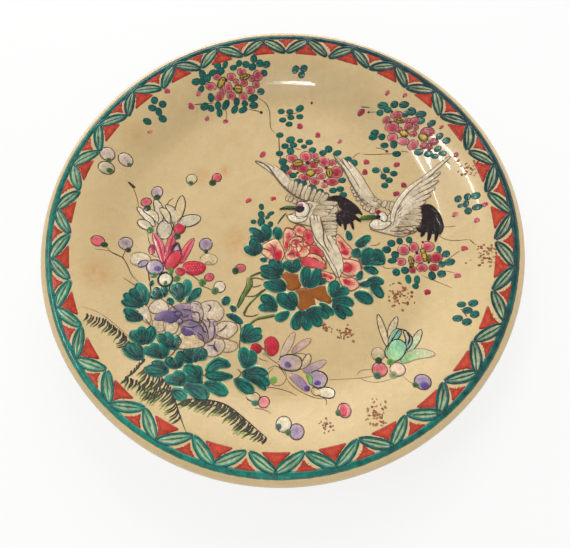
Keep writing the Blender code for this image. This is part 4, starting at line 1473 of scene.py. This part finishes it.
def make_top_blossoms():
    petals = (
        (-41, 114.5, 7, 4.5, 0, 0.3), (-36, 120.3, 5.4, 3.4, 0, 0.35), (-36, 109, 7, 4.2, 25, 0.5),
        (-29, 114.5, 5.2, 5.6, 0, 0.3), (-27.5, 109.5, 6, 4.6, 0, 0.45), (-19, 109, 5.6, 4.6, 0, 0.35),
        (-26, 120.5, 6, 4.2, 0, 0.3), (-18.5, 123.2, 6, 4.2, 0, 0.35), (-17.5, 117, 5, 4, 0, 0.5),
        (-7, 121, 7, 5.8, 20, 0.55), (-9, 116, 5, 4, 0, 0.4), (-13.5, 112.7, 6, 4.2, 0, 0.45),
        (-11.8, 119.4, 4, 3.2, 0, 0.3), (-23, 117.6, 4, 3.2, 20, 0.2), (-33, 112.2, 4, 3.4, 0, 0.25),
    )
    hearts = ((-33.5, 117, 7, 3.6, 50, 0.4), (-22, 113.5, 5, 4.4, 0, 0.6), (-16.5, 120.3, 6.5, 3, 10, 0.7))
    dabs = (
        (-46, 121.5, 6, 4.5, 100, 0.4), (-51, 117, 6, 4, 20, 0.5), (-47, 117, 5, 4, 0, 0.3),
        (-48, 112.5, 5, 3.2, 40, 0.5), (-42.5, 119.5, 5.5, 3.5, 60, 0.6), (-39, 122.8, 5.5, 3.5, 30, 0.5),
        (-33.5, 124, 6, 4.5, 20, 0.4), (-35, 127.5, 5, 3.5, 20, 0.7), (-29.5, 128, 5, 3.2, 60, 0.4),
        (-24, 126, 5, 3.2, 10, 0.5), (-19.8, 128.5, 4.5, 3.6, 40, 0.4), (-15, 127.7, 5, 4, 0, 0.6),
        (-9, 131, 5, 4.4, 60, 0.4), (-10.5, 126, 5.5, 4, 10, 0.3), (-5, 128, 5, 4.4, 0, 0.5),
        (-0.5, 127, 5.5, 4, 10, 0.4), (-42, 108, 5, 4, 80, 0.3), (-47, 102.5, 6, 4, 30, 0.5),
        (-42.7, 101.7, 4.5, 4, 0, 0.4), (-37.5, 103.5, 5, 4, 60, 0.4), (-37, 99, 5.5, 4, 80, 0.6),
        (-32, 104, 7, 4, 50, 0.1), (-24, 106, 5, 4, 70, 0.1), (-26, 101, 6, 4, 55, 0.5),
        (-20, 100.5, 6.5, 4, 25, 0.5), (-18.3, 104.8, 4.5, 3.5, 0, 0.3), (-12, 103.2, 6, 4.5, 0, 0.4),
        (-12, 108, 7, 4, 15, 0.1), (-6, 111.6, 5, 3.6, 0, 0.4), (-2.5, 122, 4.4, 3.6, 0, 0.3),
    )
    stems = (
        (((-54, 103), (-48, 104), (-40, 105)), 0.7),
        (((-8, 108), (-3, 104), (-1, 98), (-1, 91), (-1, 84), (2, 79)), 0.7),
        (((-16, 101), (-10, 99), (-7, 97.5)), 0.7),
        (((-33, 104), (-32, 98), (-32.5, 94)), 0.6),
    )
    blossom_cluster("top_blossoms", petals, hearts, dabs, stems,
        ((-30, 118.5, 2), (-25, 113.5, 2), (-7, 97.5, 2.2)))


def make_centre_blossoms():
    petals = (
        (12, 58, 8, 6, -20, 0.4), (21.8, 58.5, 7.5, 8, 0, 0.35), (34.2, 53.5, 9, 7, 120, 0.35),
        (13, 51, 5.2, 4, 0, 0.7), (19, 49.5, 8, 6, -30, 0.7), (26.3, 52, 6.5, 5, 0, 0.75),
        (28.8, 47, 7, 4.5, 0, 0.4), (19.5, 42.5, 7.5, 5, 0, 0.5), (31, 42.3, 6, 4.5, 0, 0.4),
        (26, 38.8, 6.5, 5.5, 0, 0.45), (42, 44.5, 8, 8.5, 0, 0.7), (38.5, 37.7, 8, 6, 0, 0.75),
        (32.5, 35.5, 4.4, 4, 0, 0.1), (28, 58.5, 5, 4.6, 0, 0.25), (40, 52, 5, 4.6, 0, 0.45),
        (9, 47.5, 4, 3.4, 0, 0.5),
    )
    hearts = ((16, 54, 6, 5, 0, 0.7), (24, 45.5, 5.4, 5, 0, 0.5), (37, 44.5, 6, 4, 90, 0.6),
        (29, 54.5, 4, 3, 0, 0.6))
    dabs = (
        (5, 77.5, 5, 4, 0, 0.4), (12.3, 73, 6, 5, 20, 0.7), (8, 68.3, 5, 4.2, 0, 0.1),
            (14, 68.5, 5, 4, 0, 0.4),
        (19, 71.5, 4, 3.2, 0, 0.5), (25.3, 69.7, 5, 4, 0, 0.4), (21.3, 66.7, 4, 3.2, 0, 0.4),
        (11.5, 64, 5.5, 5, 90, 0.5), (3.7, 62.8, 5, 4, 0, 0.4), (27, 63.4, 5, 4, 0, 0.7),
            (5.5, 56, 5.5, 5, 0, 0.4),
        (6.5, 50, 7, 6, 90, 0.1), (11.7, 44.8, 5, 4, 0, 0.4), (14.3, 39.8, 5, 4, 0, 0.4),
            (18.3, 38, 5, 4, 0, 0.3),
        (24.5, 34.2, 6, 4, -40, 0.5), (29, 31, 5, 4, 0, 0.4), (32.5, 27.7, 5, 4, 0, 0.7),
            (38, 30.8, 5, 4, 0, 0.4),
        (43, 31.5, 5, 4, 0, 0.3), (44.5, 27, 5, 4, 0, 0.4), (45, 38, 5, 4, 0, 0.2), (34, 60.5, 5, 4, 0, 0.4),
        (38.3, 63, 5.5, 5, 90, 0.5), (44, 59.3, 6, 4, 20, 0.5), (51, 53.8, 5, 4, 0, 0.4),
            (54.7, 50.5, 5, 5, 0, 0.5),
    )
    stems = (
        (((4.5, 80), (4, 70), (4, 60), (4, 50), (5, 46)), 0.9),
        (((15, 66), (19, 64)), 0.7),
        (((54, 54), (57, 57), (60, 58)), 0.6),
    )
    dark = ((22.5, 53.5, 3), (35, 48.5, 2.4), (15, 46.5, 2), (33, 38.5, 1.8), (30, 101, 1.8))
    blossom_cluster("centre_blossoms", petals, hearts, dabs, stems, dark)


def make_right_upper_blossoms():
    petals = (
        (80.3, 79, 4.6, 4, 0, 0.5), (85.5, 81, 4.5, 4, 0, 0.2), (88.2, 79.3, 4.6, 4.6, 0, 0.5),
        (83.5, 73.5, 9, 7, -30, 0.45), (94, 70.5, 5, 4.4, -30, 0.6), (93, 74.5, 5, 3, -10, 0.3),
        (98, 72.5, 6, 4.2, -30, 0.65), (83.5, 66.8, 6.4, 5, -20, 0.25), (98.3, 68, 3.4, 3, 0, 0.5),
        (96.5, 64.8, 4.6, 3.2, -30, 0.5), (90, 62.5, 8, 4.6, -35, 0.15), (95.8, 58, 6.4, 6.4, 0, 0.4),
        (105, 63, 8.5, 5.6, -30, 0.9), (102.5, 55, 5.6, 3.6, -40, 0.85), (108, 55.5, 6, 4, -30, 0.75),
        (105.8, 52.3, 2.8, 2.6, 0, 0.95), (88, 70.5, 4, 3.2, -30, 0.2),
    )
    hearts = ((91, 67.2, 5.6, 3.4, -42, 0.2), (88, 76.3, 6, 2.6, -35, 0.6), (102.3, 60.5, 6, 4, -48, 0.5))
    dabs = (
        (78.5, 88.5, 7, 3.8, -25, 0.9), (76.5, 84.8, 4.6, 3.4, -30, 0.7), (81.5, 85, 5, 3.4, -30, 0.8),
        (86, 87, 5, 4, -30, 0.1), (92, 85, 6.2, 4, -20, 0.1), (92.7, 78.8, 4.6, 3.8, 0, 0.2),
        (96.5, 79.3, 6, 4.4, -45, 0.2), (102, 75.6, 6.5, 4, -20, 0.1), (101.8, 71.2, 4.6, 3.6, 0, 0.7),
        (107.8, 67.8, 5, 4, 0, 0.1), (111.8, 57.8, 4.2, 3.8, 0, 0.4), (115.5, 53.5, 4.6, 3.8, -30, 0.5),
        (72, 72.5, 5.5, 4.4, 0, 0.5), (70.5, 69.5, 6, 4.4, 10, 0.5), (76.5, 69, 4.6, 4.4, 0, 0.2),
        (77.5, 62.2, 5.4, 4, 0, 0.5), (83.8, 62, 5.6, 4.4, 90, 0.1), (85, 54.7, 5.6, 4, -10, 0.1),
        (99, 52.2, 5.6, 4, -20, 0.4), (104.5, 49, 5, 3.8, -30, 0.5), (110, 50, 4, 3.4, 0, 0.6),
        (108, 46, 4.6, 3, -30, 0.6), (112.5, 46, 4.8, 3, -35, 0.7),
    )
    stems = (
        (((61, 57), (68, 56), (78, 55.5), (86, 55)), 0.6),
        (((71, 61), (75, 60), (80, 57)), 0.6),
        (((88, 56), (90, 55.5), (93, 54)), 0.6),
        (((68, 87.5), (70, 87), (75, 86)), 0.5),
        (((112, 42), (116, 38)), 0.4),
    )
    dark = ((78.5, 57.6, 1.8), (84.2, 83, 1.4), (83, 77, 1.6), (69, 87.3, 1.4))
    blossom_cluster("right_upper_blossoms", petals, hearts, dabs, stems, dark)


def make_right_lower_blossoms():
    petals = (
        (79.2, -16, 7.4, 7, 0, 0.3), (86.3, -15, 5.6, 6.8, 0, 0.35), (95.3, -15.2, 8, 7, 0, 0.3),
        (76.5, -24, 6, 4.8, 0, 0.3), (83, -30, 4.6, 4.4, 0, 0.65), (89.2, -29.3, 6.6, 5.4, 0, 0.35),
        (96.5, -30, 5.8, 4.6, 0, 0.95), (99, -23.3, 8, 6.8, 0, 0.9), (88.4, -22.8, 6.6, 6.2, 0, 0.25),
    )
    hearts = ((83, -24.5, 6.6, 3, 90, 0.8), (92, -21.5, 6.4, 3, 90, 0.2), (91.4, -17.8, 3, 2.8, 0, 0.3),
              (94.6, -23.6, 5, 2.2, 80, 0.9))
    dabs = (
        (72, -10.8, 5, 4.6, 0, 0.4), (77.5, -9.8, 4.4, 4, 90, 0.1), (84, -9.5, 4.4, 4, 90, 0.5),
        (68.2, -15, 5.6, 4.6, 0, 0.1), (73.3, -19, 5, 4.6, 90, 0.2), (70.8, -22.8, 5.6, 3.6, 0, 0.4),
        (72.3, -30.8, 4.8, 4.6, 0, 0.5), (78, -30, 4.8, 4.6, 0, 0.4), (79.3, -36, 5.6, 3.6, 90, 0.8),
        (84.7, -37, 5.6, 3.6, 80, 0.8), (83.2, -41, 4, 3.6, 0, 0.5), (94.5, -35.2, 5.6, 4.4, 90, 0.1),
        (100.3, -35, 4.8, 4.6, 0, 0.3), (101.8, -28.5, 4, 3.6, 90, 0.4), (106.3, -28, 5.4, 4.4, 0, 0.5),
        (105.3, -22, 4.6, 4, 90, 0.4), (102, -18, 4.6, 3, 90, 0.7),
    )
    stems = (
        (((103, -8), (107, -12), (112, -14.5), (119, -16)), 0.6),
        (((100, -28), (105, -26), (110, -23.5), (113, -22)), 0.6),
        (((88, -34), (96, -39), (101, -43), (104, -46)), 0.5),
        (((64, -25), (66, -27.5), (75, -28)), 0.5),
        (((58, -11), (62, -11.2), (65, -9.5)), 0.7),
        (((102, -33), (105, -34.5), (107.5, -36)), 0.4),
        (((107, -3), (110, -4), (114, -4.6)), 0.5),
    )
    dark = ((87.5, -18.6, 2), (82, -28, 1.8), (94, -26, 1.6), (92.5, -11.8, 1.6))
    blossom_cluster("right_lower_blossoms", petals, hearts, dabs, stems, dark)


def make_leaf_sprays():
    """The loose sprays of small teal leaves round the picture."""
    pads = Pads("leaf_sprays", 0.03)
    dabs = (
        (7.5, 97, 4.8, 4, 0, 0.4), (13.7, 96.3, 4.8, 4, 0, 0.4), (21, 98, 6, 4.5, 30, 0.6),
            (14, 91.3, 4.8, 4, 0, 0.3),
        (20.5, 91.5, 4.8, 4, 0, 0.5), (8, 89.8, 4.8, 4, 0, 0.4), (12.3, 85.8, 4.8, 4, 0, 0.5),
        (69, 43.5, 5, 4.2, 0, 0.9), (76.2, 43, 4.6, 4.2, 0, 0.6), (73.5, 38.3, 4.4, 4, 90, 0.1),
        (81, 39.7, 4.8, 4, 0, 0.2), (77, 35, 4.8, 4, 0, 0.4), (73.5, 31.5, 4.6, 4, 0, 0.4),
        (117.5, 13, 4.4, 3.6, 90, 0.5), (122.5, 12.5, 4.4, 3.6, 90, 0.3), (127, 11.8, 4.8, 4.4, 0, 0.8),
        (121.2, 8.2, 4.8, 3, 80, 0.1), (118, 8, 3, 2.6, 0, 0.8), (121.5, 3, 4.6, 3.6, 100, 0.4),
        (126.5, 4, 5.4, 3.8, 0, 0.2), (112, -58, 5, 4, 20, 0.5), (108, -62, 5, 4, 0, 0.4),
            (111, -65, 5, 4, 30, 0.5),
        (102, -66, 5, 4, 0, 0.5), (106, -69, 5, 4, 20, 0.4), (106, -57.5, 4.4, 3.6, 0, 0.6),
        (20, 122, 5, 4, 30, 0.5), (26, 122, 5, 4, 0, 0.4), (24, 118.6, 4.6, 3.6, 0, 0.5),
        (-80, 103, 5, 4, 60, 0.5), (-75, 101, 5, 4, 30, 0.4), (-82, 98, 5, 4, 0, 0.5),
            (-78, 96, 5, 4, 80, 0.3),
        (-76, 92, 5, 4, 20, 0.5), (-86, 89, 5, 4, 0, 0.6),
    )
    for leaf in dabs:
        dab(pads, *leaf)
    twigs = (
        ((10, 93), (14, 94), (20, 95)), ((72, 44), (73, 40), (72, 36)), ((74, 41), (79, 41)),
        ((121, 14), (121.5, 6)), ((105, -60), (107, -66)), ((-80, 100), (-77, 94)), ((22, 124), (25, 119)),
        ((70, 90), (64, 92)), ((119, -16), (121, -20)),
    )
    for line in twigs:
        stroke(pads, line, 0.6, mixed(INK, STEM_BROWN, 0.5), 0)
    finish_pads(pads, ENAMEL, "picture_enamels")


# Scene


LENS_MM = 30.32
CAMERA_PLACE = (0.0007, -0.1180, 0.3136)
CAMERA_LEAN, CAMERA_ROLL = 17.22, -4.65  # degrees


def set_camera():
    """The photographer's place: above the near edge, looking down with a slight roll."""
    data = bpy.data.cameras.new("camera")
    data.sensor_width = 36
    data.lens = LENS_MM
    data.clip_start = 0.01
    made = bpy.data.objects.new("camera", data)
    made.location = CAMERA_PLACE
    made.rotation_mode = "ZYX"
    made.rotation_euler = (math.radians(CAMERA_LEAN), 0, math.radians(CAMERA_ROLL))
    bpy.context.scene.collection.objects.link(made)
    bpy.context.scene.camera = made


# Thin lamps as (name, direction from the plate, size in m, watts, turn in degrees)
STREAK_LAMP_DISTANCE = 1.5
STREAK_LAMPS = (
    ("ceiling_lamp", (-0.095, -0.40, 0.91), (0.34, 0.014), 0.8, 0),
    ("side_strip_a", (-0.584, 0.099, 0.805), (0.26, 0.04), 1.0, 0),
    ("side_strip_b", (-0.438, 0.199, 0.877), (0.52, 0.06), 2.6, 0),
)


def add_softbox(name, direction, distance, size, power, turn=0, mirrored=True):
    """A rectangular lamp seen from the plate in a direction, facing it."""
    data = bpy.data.lights.new(name, "AREA")
    data.shape = "RECTANGLE"
    data.size, data.size_y = size
    data.energy = power
    made = bpy.data.objects.new(name, data)
    way = Vector(direction).normalized()
    made.location = way * distance
    made.rotation_euler = way.to_track_quat("Z", "Y").to_euler()
    made.rotation_euler.rotate_axis("Z", math.radians(turn))
    made.visible_glossy = mirrored
    bpy.context.scene.collection.objects.link(made)


def set_lights():
    """A broad soft window behind the plate, and thin lamps whose reflections streak the glaze."""
    add_softbox("window", (0.1, 0.85, 0.7), 1.6, (1.2, 0.7), 15, mirrored=False)
    add_softbox("back_light", (-0.2, 0.95, 0.24), 1.8, (2.4, 0.25), 9)
    add_softbox("fill", (-0.1, -0.7, 0.75), 0.9, (0.6, 0.6), 1.5, mirrored=False)
    for name, direction, size, power, turn in STREAK_LAMPS:
        add_softbox(name, direction, STREAK_LAMP_DISTANCE, size, power, turn)
    world = bpy.data.worlds.new("studio")
    bpy.context.scene.world = world
    world.use_nodes = True
    nodes, links = world.node_tree.nodes, world.node_tree.links
    back = nodes["Background"]
    place = nodes.new("ShaderNodeTexCoord")
    parts = nodes.new("ShaderNodeSeparateXYZ")
    links.new(place.outputs["Generated"], parts.inputs["Vector"])
    dome = ramp(nodes, links, parts.outputs["Z"], 0.25, 0.65, (1, 0.98, 0.95, 1), (0.22, 0.215, 0.21, 1))
    links.new(dome, back.inputs["Color"])
    back.inputs["Strength"].default_value = 1.05
    seen = nodes.new("ShaderNodeBackground")
    seen.inputs["Color"].default_value = (1, 1, 1, 1)
    path = nodes.new("ShaderNodeLightPath")
    mixer = nodes.new("ShaderNodeMixShader")
    links.new(path.outputs["Is Camera Ray"], mixer.inputs["Fac"])
    links.new(back.outputs["Background"], mixer.inputs[1])
    links.new(seen.outputs["Background"], mixer.inputs[2])
    links.new(mixer.outputs["Shader"], nodes["World Output"].inputs["Surface"])


def make_floor():
    """A plain white floor that shows white to the camera but keeps the plate's shadow."""
    bm = bmesh.new()
    bmesh.ops.create_grid(bm, x_segments=2, y_segments=2, size=3)
    mesh = bpy.data.meshes.new("floor")
    bm.to_mesh(mesh)
    bm.free()
    floor = bpy.data.objects.new("floor", mesh)
    floor.location.z = -0.0002
    bpy.context.scene.collection.objects.link(floor)
    made, nodes, links, shader = new_material("floor_white")
    shader.inputs["Base Color"].default_value = (0.85, 0.85, 0.85, 1)
    shader.inputs["Roughness"].default_value = 0.9
    glow = nodes.new("ShaderNodeEmission")
    path = nodes.new("ShaderNodeLightPath")
    share = nodes.new("ShaderNodeMath")
    share.operation = "MULTIPLY"
    share.inputs[1].default_value = 0.8
    mixer = nodes.new("ShaderNodeMixShader")
    links.new(path.outputs["Is Camera Ray"], share.inputs[0])
    links.new(share.outputs[0], mixer.inputs["Fac"])
    links.new(shader.outputs["BSDF"], mixer.inputs[1])
    links.new(glow.outputs["Emission"], mixer.inputs[2])
    links.new(mixer.outputs["Shader"], nodes["Material Output"].inputs["Surface"])
    mesh.materials.append(made)


def dress_foot():
    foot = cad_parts["foot_ring"]
    foot.data.materials.clear()
    foot.data.materials.append(CLAY)


set_camera()
set_lights()
make_floor()
dress_foot()
make_body()
make_rim_border()
make_border_reds()
make_lily()
make_violet_sprays()
make_brown_dots()
make_magnolia_stems()
make_magnolia()
make_left_buds()
make_upper_teal_leaves()
make_violet_peony()
make_lower_teal_leaves()
make_peony_stems()
make_grasses()
make_red_peony()
make_centre_teal_leaves()
make_gilt_leaf()
make_left_crane()
make_right_crane()
make_top_blossoms()
make_centre_blossoms()
make_right_upper_blossoms()
make_right_lower_blossoms()
make_leaf_sprays()
bpy.context.scene.view_settings.view_transform = "Standard"
